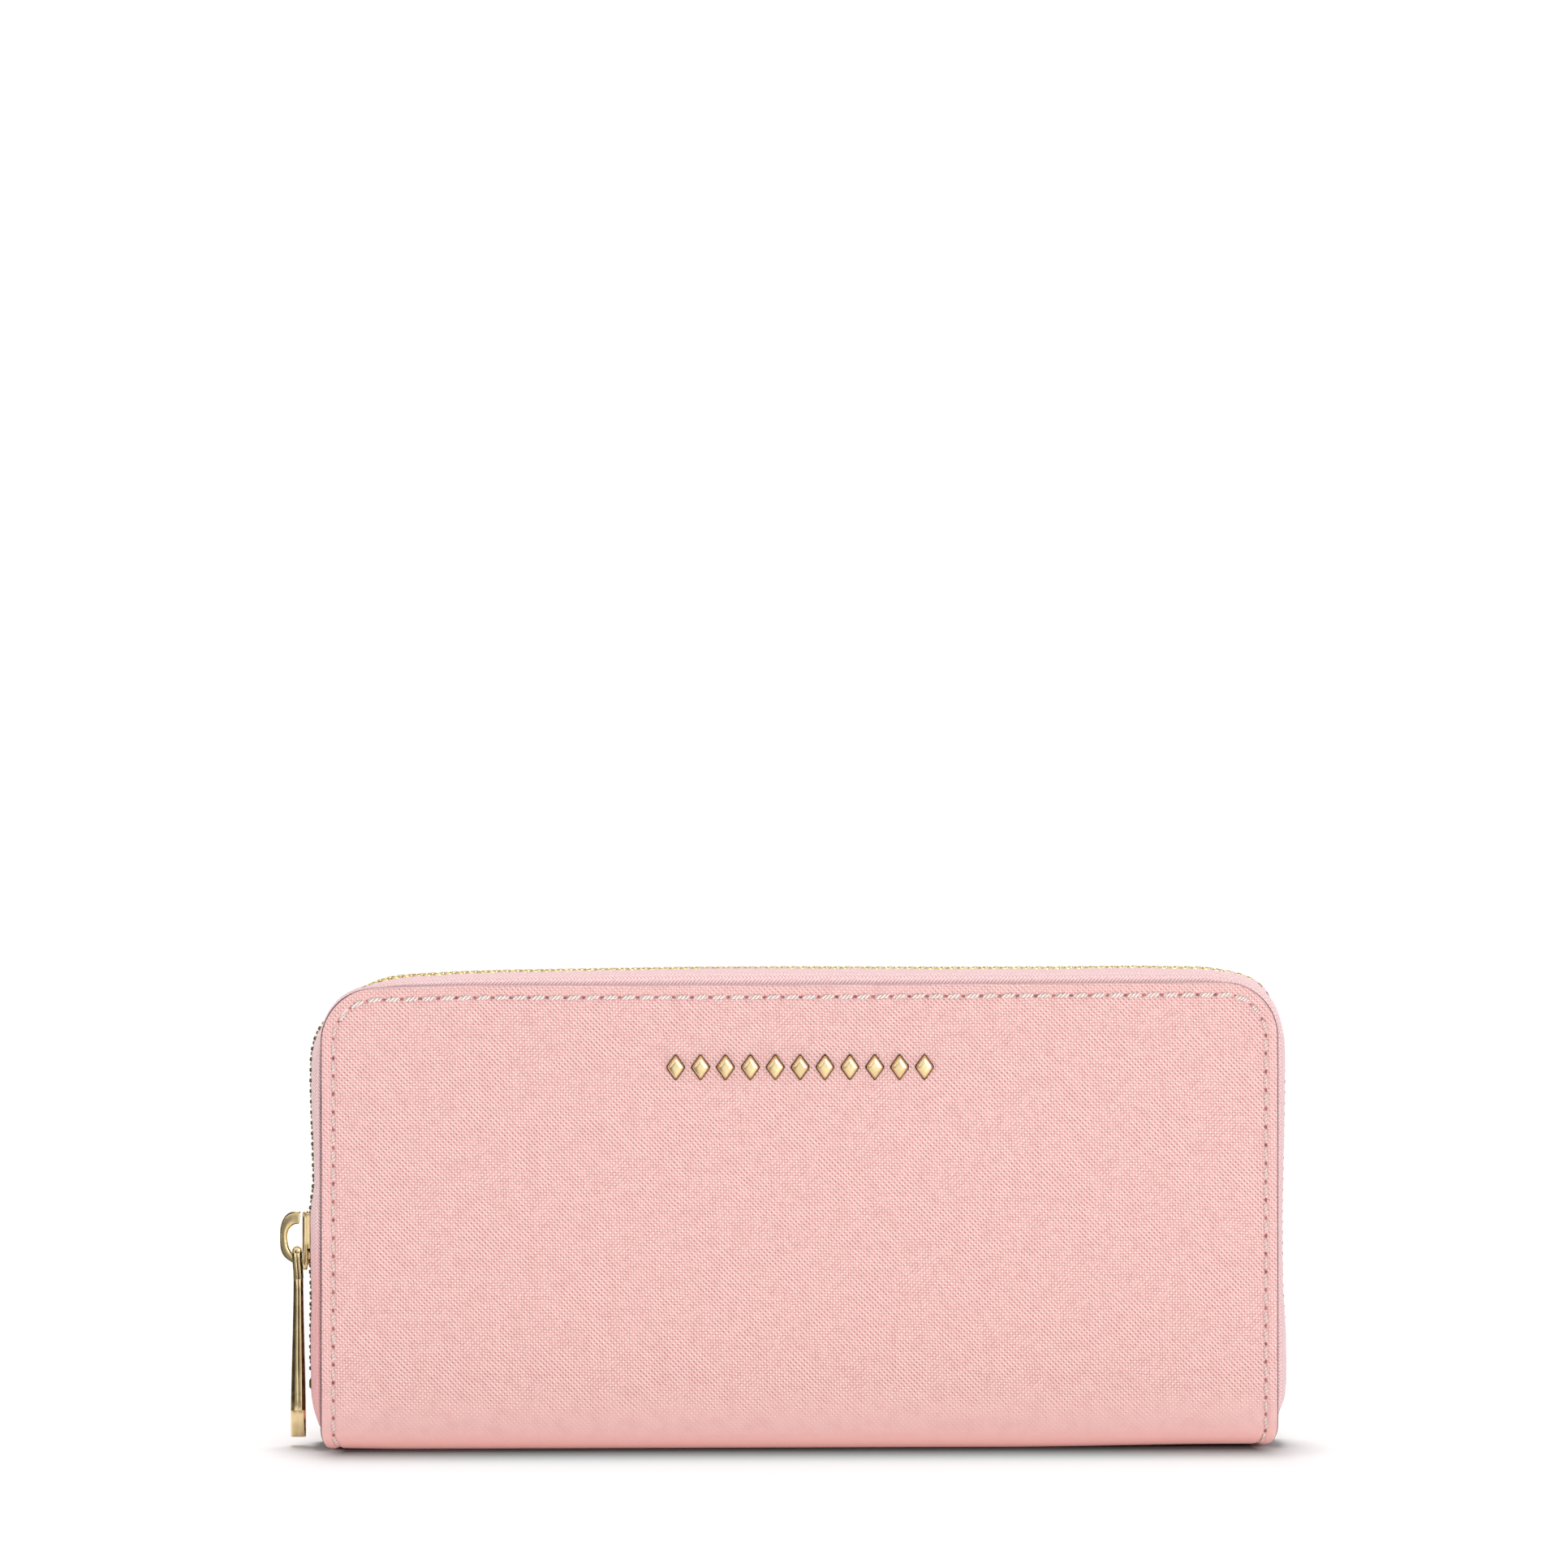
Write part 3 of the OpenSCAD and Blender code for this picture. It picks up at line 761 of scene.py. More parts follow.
def leather_profile():
    """The covers' section round the edge, and the material slot of each step along it: the
    grained face, the painted edge and the flesh side."""
    insets = [9, 7, 5.5, 4.6, 4.0, 3.6, 3.3, 3.0, 2.8, 2.6, 2.4, 2.2, 1.9, 1.6, 1.3, 1.0, 0.75]
    profile = [(inset, groove(inset) if inset < 6 else 0) for inset in insets]
    slots = [0] * (len(profile) - 1)
    turns = 12
    for i in range(turns + 1):
        angle = math.pi * i / turns
        inset = EDGE_ROUND * (1 - math.sin(angle)) * 0.85
        profile.append((inset, EDGE_ROUND * (1 - math.cos(angle))))
        slots.append(0 if i < 3 else 1 if i < turns else 2)
    for inset in (1.4, 4.0, 9):
        profile.append((inset, LEATHER_T))
        slots.append(2)
    return profile, slots[:len(profile) - 1]


def cover_leather(name, turn):
    """One continuous piece: from under the spine, round the fold and up the cover."""
    profile, slots = leather_profile()

    def place(x, v, deep):
        px, py, pz = wrapped(x, v, deep)
        out = crown(x, v)
        return settle((px, (py - out) * turn, pz))
    build = Build()
    panel(build, Rim(CORNER_R), 0.0, 1.0, profile, place, slots, turn)
    return build.make(name, [leather, paint, flesh], weld=0.002, smooth_angle=60)


for side, turn in SIDES:
    piece = cover_leather(side + "_leather", turn)
    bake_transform(piece)
    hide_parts(side + "_cover", "spine_cover")


# ---------------------------------------------------------------- thread
def strand(build, place, length, radius, plies, turns, rise):
    """A short length of twisted thread that rises in the middle and dives down at both ends. Its
    own x runs along it and its z is up from the leather."""
    rings, around = 13, circle(6)
    for ply in range(plies):
        rows = []
        for j in range(rings):
            share = j / (rings - 1)
            swell = math.sqrt(max(0.06, 1 - abs(2 * share - 1) ** 3))
            angle = 2 * math.pi * (turns * share + ply / plies)
            x = (share - 0.5) * length
            y = radius * 0.6 * swell * math.cos(angle)
            z = radius * 0.6 * swell * math.sin(angle)
            z += rise * (1 - (2 * share - 1) ** 4) - rise * 0.9
            r = radius * 0.5 * swell
            rows.append([place((x, y + r * c, z + r * s)) for c, s in around])
        build.loft(rows)


def dimple(build, place, length, width, slot):
    """A shallow dish where the needle went through, closed by a cone inside the leather."""
    rings = [(1.0, 0.02), (0.8, -0.02), (0.4, -0.1)]
    bottom, tip = -0.12, -0.3
    around = circle(12)
    count = len(around)
    points = [place((scale * length / 2 * c, scale * width / 2 * s, height))
              for scale, height in rings for c, s in around]
    points += [place((0, 0, bottom)), place((0, 0, tip))]
    middle, under = len(points) - 2, len(points) - 1
    last = (len(rings) - 1) * count
    faces = [(j + i, j + (i + 1) % count, j + count + (i + 1) % count, j + count + i)
             for j in range(0, last, count) for i in range(count)]
    for i in range(count):
        n = (i + 1) % count
        faces += [(last + i, last + n, middle), (n, i, under)]
    build.add(points, faces, slot)


FOOT_STITCHES = 2
# Along the top the thread is fuller and lies higher than down the sides
TOP_THREAD = (0.46, 0.02)
SIDE_THREAD = (0.34, 0.12)
ON_TOP_ANGLE = 0.6
HOLE_SUNK = 0.13


def seam(name, turn, foot):
    """The seam round three sides of a cover, stitch by stitch. foot picks the few stitches that
    run on down into the fold, which bend with the leather there."""
    rim = Rim(CORNER_R)
    stations = rim.spaced(STITCH_PITCH, -SEAM_INSET, SEAM_Z0)
    last = stations[-1]
    lower = [stations[0] - STITCH_PITCH * (i + 1) for i in range(FOOT_STITCHES)]
    raised = [last + STITCH_PITCH * (i + 1) for i in range(FOOT_STITCHES)]
    build = Build()

    def placer(station, slant, deep):
        """Lays a stitch down at a station: turned by slant, and sunk to deep in the leather."""
        x0, v0, angle = rim.at(station, -SEAM_INSET)
        cos_s, sin_s = math.cos(slant), math.sin(slant)

        def place(p):
            run = p[0] * cos_s - p[1] * sin_s
            out = p[0] * sin_s + p[1] * cos_s
            x, v = off_rim(x0, v0, angle, run, out)
            px, py, pz = wrapped(x, v, deep - p[2])
            return settle((px, (py - crown(x, v)) * turn, pz))
        return place
    for i, station in enumerate(lower + raised if foot else stations):
        slant = math.radians(5 + 5 * wander(i * 1.7, 0, 2.0, 1.0))
        on_top = abs(rim.at(station)[2]) < ON_TOP_ANGLE
        radius, sunk = TOP_THREAD if on_top else SIDE_THREAD
        length = STITCH_L + 0.12 + 0.1 * wander(i * 2.3, 3, 2.0)
        strand(build, placer(station, slant, sunk), length, radius, plies=3, turns=1.9, rise=0.34)
        toward = -1 if station < rim.length / 2 else 1
        if foot or i:
            middle = station + (-toward if foot else -1) * STITCH_PITCH / 2
            # The dimple takes the needle hole's painted shade
            dimple(build, placer(middle, slant, HOLE_SUNK), length=0.8, width=0.55, slot=1)
    return build.make(name, [thread, hole_shade], smooth_angle=80)


for side, turn in SIDES:
    piece = seam(side + "_stitches", turn, False)
    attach(piece, side + "_half")
    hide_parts(side + "_seam_thread")
    piece = seam(side + "_foot_stitches", turn, True)
    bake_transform(piece)

# ---------------------------------------------------------------- zip tapes and teeth
zip_rim = Rim(TAPE_R)
# How far the chain stands out past the covers' nominal edge, by station: it sinks in beside the
# corners and tucks in behind the covers at both lower ends.
CHAIN_KEYS = [
    (4, 0.1), (5, 0.25), (6.6, 1.1), (10, 1.85), (24, 1.9), (33.5, 1.8), (37, 2.0), (49, 2.0),
    (54.5, 1.25), (75.4, 1.88), (85.7, 1.68), (88.4, 0.8), (95, 0.6), (99.2, 0.8), (105.5, 1.4),
    (125.5, 2.0), (164, 2.55), (186, 2.6), (214, 2.35), (240, 2.25), (256, 2.35), (270, 2.05),
    (272.4, 2.15), (274.5, 2.45), (276.5, 3.1), (278.7, 3.6), (280.4, 3.75), (282, 3.5),
    (283.6, 2.8), (286, 2.0), (288.5, 2.1), (292, 1.95), (297.6, 2.05), (325.6, 1.5), (339, 1.6),
    (349, 2.15), (359, 2.25), (362.6, 2.1), (366, 0.6), (368.6, 0.1),
]
# At the corners the tape's shoulder stands out further than the chain, and hides it
LEFT_SHOULDER = [(80.4, 1.4), (83.7, 1.35), (85.7, 1.5), (87.3, 1.7), (88.8, 1.9), (90.6, 2.2),
                 (92.9, 2.1), (94.3, 1.85), (96.7, 1.4), (99.2, 1.3), (102.3, 1.1)]
RIGHT_SHOULDER = [(276.5, 2.7), (278.7, 2.9), (280.4, 3.0), (282, 3.3), (283.2, 3.4),
                  (284.4, 3.15), (285.7, 2.85), (287.2, 2.6), (290, 2.3)]
BULGE_STEP = 0.5
BLUR = 1.2
BLUR_STEPS = 12
samples = np.arange(0, zip_rim.length + BULGE_STEP, BULGE_STEP)


def evened(keys):
    """The keyed line at every sample, with its corners blurred away."""
    raw = between_keys(keys, samples)
    window = np.exp(-0.5 * (np.arange(-BLUR_STEPS, BLUR_STEPS + 1) * BULGE_STEP / BLUR) ** 2)
    return np.convolve(np.pad(raw, BLUR_STEPS, mode="edge"), window / window.sum(), mode="valid")


def swapped(keys, new):
    """The keys with those in the new ones' reach taken out and the new ones put in."""
    kept = [key for key in keys if not new[0][0] <= key[0] <= new[-1][0]]
    return sorted(kept + new)


chain_table = evened(CHAIN_KEYS)
shoulder_table = evened(swapped(swapped(CHAIN_KEYS, LEFT_SHOULDER), RIGHT_SHOULDER))


def chain_out(station):
    """How far the chain stands out past the covers' nominal edge at a station."""
    return float(np.interp(station, samples, chain_table))


def shoulder_out(station):
    """The same for the tape's shoulder."""
    return float(np.interp(station, samples, shoulder_table))


TAPE_EDGE_Y = 1.45
TAPE_T = 0.6
TAPE_MID_Y = TAPE_OUT - TAPE_T / 2
TAPE_START = 5.0


def tape_line():
    """The tape's section from inside the cover out to the chain, as (y, u) points."""
    points = [(-TAPE_MID_Y, -4.0), (-TAPE_MID_Y, -2.4), (-TAPE_MID_Y, -0.9), (-TAPE_MID_Y, 0.05)]
    reach_y, start_u = 5.2, 0.3
    for i in range(9):
        angle = math.pi / 2 * (i + 0.5) / 9
        points.append((-TAPE_MID_Y + reach_y * (1 - math.cos(angle)),
                       start_u + (ZIP_BULGE - start_u) * math.sin(angle)))
    for y in (5.0, 4.2, 3.4, 2.8, 2.3, 1.95, 1.7, 1.5):
        points.append((-y, ZIP_BULGE))
    return points


def tape_section():
    """Closed section: the line thickened, with a rounded cord along its free edge."""
    line = tape_line()
    halves = [0.5 if y > -2.2 else 0.4 if y > -2.6 else TAPE_T / 2 for y, _ in line[:-1]]
    return thickened(line, halves + [0.3])


def tape(name, turn):
    """One zip tape, from the foot of the left side over the top to the foot of the right one."""
    section = tape_section()
    across = runs_of(section)
    rows, uvs = [], []
    for station in zip_rim.stations(TAPE_START, 1.1):
        chain_share = chain_out(station) / ZIP_BULGE
        shoulder = shoulder_out(station) / ZIP_BULGE
        ripple = 0.1 * wander(station, 0, 6.0, 3.0) + 0.05 * wander(station, 0, 2.4, 9.0)
        row = []
        for y, u in section:
            share = shoulder + (chain_share - shoulder) * smooth(y, -8.4, -3.2)
            out = u if u < 0 else u * share
            free = smooth(y, -TAPE_MID_Y + 0.3, -6)
            x, z, _ = zip_rim.at(station, out + ripple * free * min(1, max(u, 0)))
            row.append((x * taper(z), y * turn, z - arch(x, z)))
        rows.append(row)
        uvs.append([(station, a) for a in across])
    build = Build()
    build.loft(rows, uvs=uvs)
    return build.make(name, [tape_cloth], smooth_angle=70)


def tooth(build, place, length=1.0, grip=1.0):
    """A zip tooth of the front row: x along the zip, y towards the other row, z outwards. grip
    widens the end that clasps the tape's cord."""
    # From the clasp to the head, as (y, length along the zip, half height)
    sections = [(-2.62, 0.66, 0.6), (-2.5, 0.84, 0.76), (-2.1, 0.9, 0.82), (-1.2, 0.9, 0.82),
                (-0.55, 0.86, 0.76), (-0.1, 0.8, 0.7), (0.25, 0.64, 0.58), (0.4, 0.36, 0.42)]
    corner = 0.68
    rows = []
    for y, along, out in sections:
        half = along * length / 2 * (grip if y < -1 else 1)
        ring = [(-half, -out * corner), (-half, out * corner), (-half * corner, out),
                (half * corner, out), (half, out * corner), (half, -out * corner),
                (half * corner, -out), (-half * corner, -out)]
        rows.append([place((x, y, z)) for x, z in ring])
    build.loft(rows)


def on_zip(station, turn):
    """Places a part drawn on the top edge at a station of the zip."""
    x0, z0, angle = zip_rim.at(station, chain_out(station))
    slope = (chain_out(station + 1) - chain_out(station - 1)) / 2
    angle -= math.atan(slope)

    def place(p):
        x, z = off_rim(x0, z0, angle, p[0], p[2])
        return (x, p[1] * turn, z - arch(x0, z0))
    return place


def teeth(name, turn):
    """A row of teeth, a quarter pitch off centre, so that the two rows mesh."""
    build = Build()
    shift = -TOOTH_PITCH / 4 * turn
    for station in zip_rim.spaced(TOOTH_PITCH, ZIP_BULGE, TEETH_Z0, shift):
        on_top = abs(zip_rim.at(station)[2]) < 1.0
        length, grip = (1.15, 1.6) if on_top else (1.0, 1.0)
        tooth(build, on_zip(station, turn), length, grip)
    return build.make(name, [teeth_gold], bevel=0.05, segments=1, smooth_angle=40)


def stops(name, turn):
    """The stops at both lower ends of a row."""
    build = Build()
    for station in (STOP_Z, zip_rim.length - STOP_Z):
        tooth(build, on_zip(station, turn), length=2.3)
    return build.make(name, [teeth_gold], bevel=0.12, smooth_angle=40)


for side, turn in SIDES:
    cloth = tape(side + "_tape", turn)
    chain = teeth(side + "_teeth", turn)
    ends = stops(side + "_stops", turn)
    for piece, node, slot in ((cloth, "zip_tape", "zip_tape"), (chain, "zip_teeth", "gold_metal"),
                              (ends, "zip_stops", "gold_metal")):
        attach(piece, side + "_half")
        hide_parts(side + "_" + node)


# ---------------------------------------------------------------- slider, bridge and puller
PLATE_GAP = 1.05
PLATE_T = 1.0
PLATE_TOP = PLATE_GAP + PLATE_T
PLATE_HALF_L = 6.0


def half_width(x, wide, narrow):
    """The slider's half width along its length, x up towards its narrow end."""
    return (wide + (narrow - wide) * smooth(x, -1.5, 4.5)) / 2


def plate_outline(wide, narrow, inset):
    """The slider plate seen from above, with rounded ends."""
    end_l, count = 1.7, 14
    points = []
    for i in range(count + 1):
        share = -math.cos(math.pi * i / count)
        x = share * (PLATE_HALF_L - inset)
        past = max(0, abs(x) + inset - (PLATE_HALF_L - end_l)) / end_l
        width = half_width(x, wide, narrow) * (1 - 0.24 * past ** 2.4) - inset
        points.append((x, width))
    return points + [(x, -y) for x, y in reversed(points)]


def slider_shape(wide, narrow, place):
    """Two plates joined by the wedge between them. x is up the zip, y across it, z outwards."""
    build = Build()
    rings = [(0.12, PLATE_GAP), (0.0, PLATE_GAP + 0.1), (0.0, PLATE_TOP - 0.42),
             (0.12, PLATE_TOP - 0.16), (0.4, PLATE_TOP)]
    for side in (1, -1):
        build.loft([[place((x, y, side * z)) for x, y in plate_outline(wide, narrow, inset)]
                    for inset, z in rings])
    # Flanges that hold the tape's cord, along the upper two thirds of both sides
    for side in (-1, 1):
        for low, high in ((0.36, PLATE_GAP + 0.3), (-PLATE_GAP - 0.3, -0.36)):
            rows = []
            for i in range(11):
                x = -1.6 + 7.2 * i / 10
                out = half_width(x, wide, narrow) * (1 - 0.1 * smooth(x, 4.5, 5.6)) - 0.05
                thick = 0.75 - 0.35 * smooth(-x, 0.4, 1.6)
                ring = [(out - thick, low), (out - 0.12, low), (out, low + 0.12),
                        (out, high - 0.12), (out - 0.12, high), (out - thick, high)]
                rows.append([place((x, side * y, z)) for y, z in ring])
            build.loft(rows)
    # The wedge between the two rows of teeth
    rows = []
    for x, half in ((-5.2, 0.12), (-4.6, 0.3), (-2.6, 0.34), (-1.0, 0.12)):
        rows.append([place((x, y, z)) for y, z in
                     ((-half, -PLATE_GAP - 0.2), (half, -PLATE_GAP - 0.2),
                      (half, PLATE_GAP + 0.2), (-half, PLATE_GAP + 0.2))])
    build.loft(rows)
    return build


def curve_through(points, count):
    """Even points on a smooth (Catmull-Rom) curve through the given ones."""
    points = [np.array(p, float) for p in points]
    padded = [2 * points[0] - points[1], *points, 2 * points[-1] - points[-2]]
    found = []
    steps = 12
    for a, b, c, d in zip(padded, padded[1:], padded[2:], padded[3:]):
        for i in range(steps):
            t = i / steps
            found.append(0.5 * (2 * b + (c - a) * t + (2 * a - 5 * b + 4 * c - d) * t * t
                                + (3 * b - a - 3 * c + d) * t ** 3))
    found.append(points[-1])
    runs = runs_of(found)
    wanted = np.linspace(0, runs[-1], count)
    table = np.array(found)
    return [tuple(np.interp(w, runs, table[:, k]) for k in range(table.shape[1])) for w in wanted]


# The bridge's outer and inner line, as (outward, up) points from the middle of the slider
BRIDGE_OUTER = [(2.0, -5.3), (3.0, -5.15), (4.1, -4.7), (5.75, -3.5), (6.55, -1.85), (6.7, 0.7),
                (6.55, 2.9), (5.75, 4.8), (4.4, 5.75), (2.5, 5.9)]
BRIDGE_INNER = [(2.0, -4.0), (2.7, -3.85), (3.45, -3.4), (4.5, -2.3), (5.05, -0.9), (5.25, 0.7),
                (5.05, 1.75), (4.6, 2.55), (3.85, 3.15), (2.8, 3.35)]


def bridge_shape(place):
    """The loop over the slider that the puller hangs on, with its edges rounded off."""
    build = Build()
    count, half_w, round_off = 44, 1.1, 0.32
    outer = curve_through(BRIDGE_OUTER, count)
    inner = curve_through(BRIDGE_INNER, count)
    rows = []
    for (ow, ox), (iw, ix) in zip(outer, inner):
        width = math.hypot(ow - iw, ox - ix)
        share = round_off / width
        ring = []
        for t, y in ((0, half_w - round_off), (share, half_w), (1 - share, half_w),
                     (1, half_w - round_off), (1, round_off - half_w), (1 - share, -half_w),
                     (share, -half_w), (0, round_off - half_w)):
            ring.append(place((ix + (ox - ix) * t, y, iw + (ow - iw) * t)))
        rows.append(ring)
    build.loft(rows, slot=[0, 0, 1, 0, 1, 0, 0, 0])
    return build


def bar_ring(low, high, t, cut, groove):
    """A bar's section: from y = low to high, and t to each side in x. cut is how far its corners
    are bevelled in x and in y, and groove is half the width and the depth of the groove along
    both its edges."""
    cut_x, cut_y = cut
    half_w, deep = groove
    return [(-t, low + cut_y), (-t, high - cut_y), (-t + cut_x, high), (-half_w, high),
            (0, high - deep), (half_w, high), (t - cut_x, high), (t, high - cut_y),
            (t, low + cut_y), (t - cut_x, low), (half_w, low), (0, low + deep), (-half_w, low),
            (-t + cut_x, low)]


# The bar's steps round its section that take the darker gold: the bevels, and both sides of the
# grooves
DARKER_STEPS = (1, 3, 4, 6, 8, 10, 11, 13)
BAR_SLOTS = [1 if i in DARKER_STEPS else 0 for i in range(14)]


def puller_shape(length, foot_w, top_w, place):
    """A flat tapered bar that hangs from a round pin. Its own z is up from the pin, y across
    it and x outwards. The bridge passes through the window between its two arms."""
    build = Build()
    pin_r, window_w, window_end = 0.98, 3.0, 5.8
    facet_l, facet_w = min(5.6, length * 0.26), 1.1
    rows = []
    for y, r in ((-1, 0.5), (-0.97, 0.8), (-0.86, 0.96), (-0.7, 1.0), (0.7, 1.0), (0.86, 0.96),
                 (0.97, 0.8), (1, 0.5)):
        rows.append([place((pin_r * r * c, y * top_w / 2, pin_r * r * s)) for c, s in circle(20)])
    build.loft(rows)

    def half_t(z):
        return 0.95 + 0.6 * smooth(-z, 2, length)

    def bar(y_in, y_out, z, bevel=0.5):
        """The bar at height z. Its groove runs out towards the foot."""
        t = half_t(z)
        groove = 0.012 + 0.09 * (1 - smooth(-z, 0.6 * length, 0.74 * length))
        ring = bar_ring(y_in, y_out, t, (bevel * t, bevel), (groove, groove))
        return [place((x, y, z)) for x, y in ring]
    for side in (-1, 1):
        low, high = sorted((side * window_w / 2, side * top_w / 2))
        build.loft([bar(low, high, z, 0.4) for z in (-0.1, -2.0, -4.0, -window_end - 0.3)],
                   slot=BAR_SLOTS)
    rows = []
    for z in np.linspace(-window_end, facet_l - length, 12):
        share = (-z - window_end) / (length - window_end)
        half = (top_w + (foot_w - top_w) * share) / 2
        rows.append(bar(-half, half, z))
    build.loft(rows, slot=BAR_SLOTS)
    # The foot: a long slanting facet on both edges, from the last half width on, and a rounded end
    rows = []
    for share, in_by, bevel in ((1.0, 0.0, 0.3), (0.5, 0.5, 0.24), (0.06, 0.96, 0.2),
                                (0.02, 1.08, 0.16)):
        edge = half - in_by * facet_w
        rows.append(bar(-edge, edge, share * facet_l - length, bevel))
    edge = half - 1.3 * facet_w
    ring = bar_ring(-edge, edge, half_t(-length) * 0.82, (0.2, 0.2), (0.07, 0.1))
    rows.append([place((x, y, -length)) for x, y in ring])
    build.loft(rows)
    return build


def on_left(p):
    """From the slider's own axes (up the zip, across, outwards) to the wallet's."""
    return (CHAIN_X - p[2], p[1], SLIDER_Z + p[0])


def hanging(p):
    """From the puller's own axes to the wallet's. Below its pin the bar is set in a little."""
    set_in = 0.3 * smooth(-p[2], 1.2, 6)
    return (PIVOT.x + set_in - p[0], p[1], PIVOT.z + p[2])


def on_coin(p):
    """From the coin slider's own axes to the wallet's: its narrow end points left."""
    return (COIN_X - COIN_SCALE * p[0], COIN_SCALE * p[1], COIN_Z + COIN_SCALE * p[2])


def lying(p):
    """From the coin puller's own axes to the wallet's: it lies along the coin zip."""
    return (COIN_PIVOT.x - COIN_SCALE * p[2], COIN_SCALE * p[1], COIN_PIVOT.z + COIN_SCALE * p[0])


SLIDER_W = SLIDER_HIGH.y - SLIDER_LOW.y
COIN_SLIDER_W = (COIN_SLIDER_HIGH.y - COIN_SLIDER_LOW.y) / COIN_SCALE
metal = [
    ("slider", slider_shape(SLIDER_W, SLIDER_W - 1.4, on_left), 0.14, "zip_slider", "zip_slider"),
    ("bridge", bridge_shape(on_left), 0.1, "zip_slider", "zip_slider_bridge"),
    ("puller", puller_shape(PULLER_L, PULLER_W, 5.0, hanging), 0.1, "zip_puller", "zip_puller"),
    ("coin_zip_slider", slider_shape(COIN_SLIDER_W, COIN_SLIDER_W - 1.0, on_coin), 0.1,
     "coin_slider", "coin_slider"),
    ("coin_bridge", bridge_shape(on_coin), 0.08, "coin_slider", "coin_slider_bridge"),
    ("coin_pull", puller_shape(COIN_PULLER_L / COIN_SCALE, 5.0, 5.0, lying), 0.08,
     "coin_puller", "coin_puller"),
]
for name, build, bevel, body, node in metal:
    piece = build.make(name, [gold, dark_gold], bevel=bevel, segments=3, smooth_angle=40)
    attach(piece, body)
    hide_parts(node)

# ---------------------------------------------------------------- studs
STUD_COUNT = 11
STUD_Z = (STUD_LOW.z + STUD_HIGH.z) / 2
STUD_H = STUD_HIGH.z - STUD_LOW.z
STUD_PITCH = 5.1
STUD_W = STUD_HIGH.x - STUD_LOW.x - STUD_PITCH * (STUD_COUNT - 1)
STUD_OUT = -STUD_LOW.y - HALF_T


def lozenge(scale, y, x0):
    """A lozenge with slightly rounded corners, seen from the front."""
    round_off, around = 0.16, 4
    corners = [(-STUD_W / 2, 0), (0, STUD_H / 2), (STUD_W / 2, 0), (0, -STUD_H / 2)]
    ring = []
    for i, (cx, cz) in enumerate(corners):
        near, far = [(cx + (x - cx) * round_off, cz + (z - cz) * round_off)
                     for x, z in (corners[i - 1], corners[(i + 1) % 4])]
        for step in range(around):
            t = (step + 0.5) / around
            px = (1 - t) ** 2 * near[0] + 2 * t * (1 - t) * cx + t * t * far[0]
            pz = (1 - t) ** 2 * near[1] + 2 * t * (1 - t) * cz + t * t * far[1]
            ring.append((x0 + px * scale, y, STUD_Z + pz * scale))
    return ring


# Each stud has a darker gold rim, and a bright face with sloping sides
STUD_RIM = [(1.0, 0.3), (1.0, -0.42), (0.95, -0.54), (0.88, -0.6)]
STUD_FACE = [(0.92, -0.4), (0.88, -0.62), (0.72, -STUD_OUT + 0.05), (0.66, -STUD_OUT),
             (0.3, -STUD_OUT - 0.02)]
stud_build = Build()
for i in range(STUD_COUNT):
    x0 = (i - (STUD_COUNT - 1) / 2) * STUD_PITCH
    for rings, slot in ((STUD_RIM, 1), (STUD_FACE, 0)):
        stud_build.loft([lozenge(scale, y - HALF_T, x0) for scale, y in rings], slot=slot)
studs = stud_build.make("studs", [gold, dark_gold], smooth_angle=24)
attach(studs, "front_half")
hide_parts("front_studs")


# ---------------------------------------------------------------- linings
def lining_depth(v):
    """How deep the lining lies in the leather: on it at the fold, and on the board above."""
    return LEATHER_T + (HALF_T - BOARD_IN - LEATHER_T) * smooth(v, 3.5, 8.0)


def cover_lining(name, turn):
    profile = [(9, LINING_T), (5, LINING_T), (3, LINING_T), (2, LINING_T), (1.2, LINING_T - 0.02),
               (0.5, LINING_T - 0.08), (0.12, LINING_T - 0.25), (0.0, LINING_T / 2),
               (0.12, 0.1), (0.4, 0.0), (4, 0.0), (9, 0.0)]

    def place(x, v, rise):
        px, py, pz = wrapped(x, v, lining_depth(v) + rise)
        px *= min(1, (HALF_W - 3) / (HALF_W - 0.8) + smooth(v, 6, 14) * 0.03)
        return settle((px, py * turn, pz))
    build = Build()
    panel(build, Rim(TAPE_R), -0.8, 2.0, profile, place, [0] * (len(profile) - 1), turn)
    return build.make(name, [lining_cloth], weld=0.002, smooth_angle=60)


for side, turn in SIDES:
    piece = cover_lining(side + "_lining_cloth", turn)
    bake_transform(piece)
    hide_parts(side + "_lining", "spine_lining")
    nodes[side + "_board"].data.materials.clear()
    nodes[side + "_board"].data.materials.append(board)


# ---------------------------------------------------------------- card pockets
def slab_marks(low, high, margins, extra=()):
    """Places across a slab, closer together where its edges round off. margins is what the even
    steps leave at both ends together, and extra are further places, measured from its high end."""
    insets = (0.0, 0.08, 0.3)
    count = max(2, round((high - low) / 2.0))
    marks = [low + inset for inset in insets]
    marks += [low + 1 + (high - low - margins) * i / count for i in range(count + 1)]
    return marks + [high - inset for inset in (*extra, *reversed(insets))]


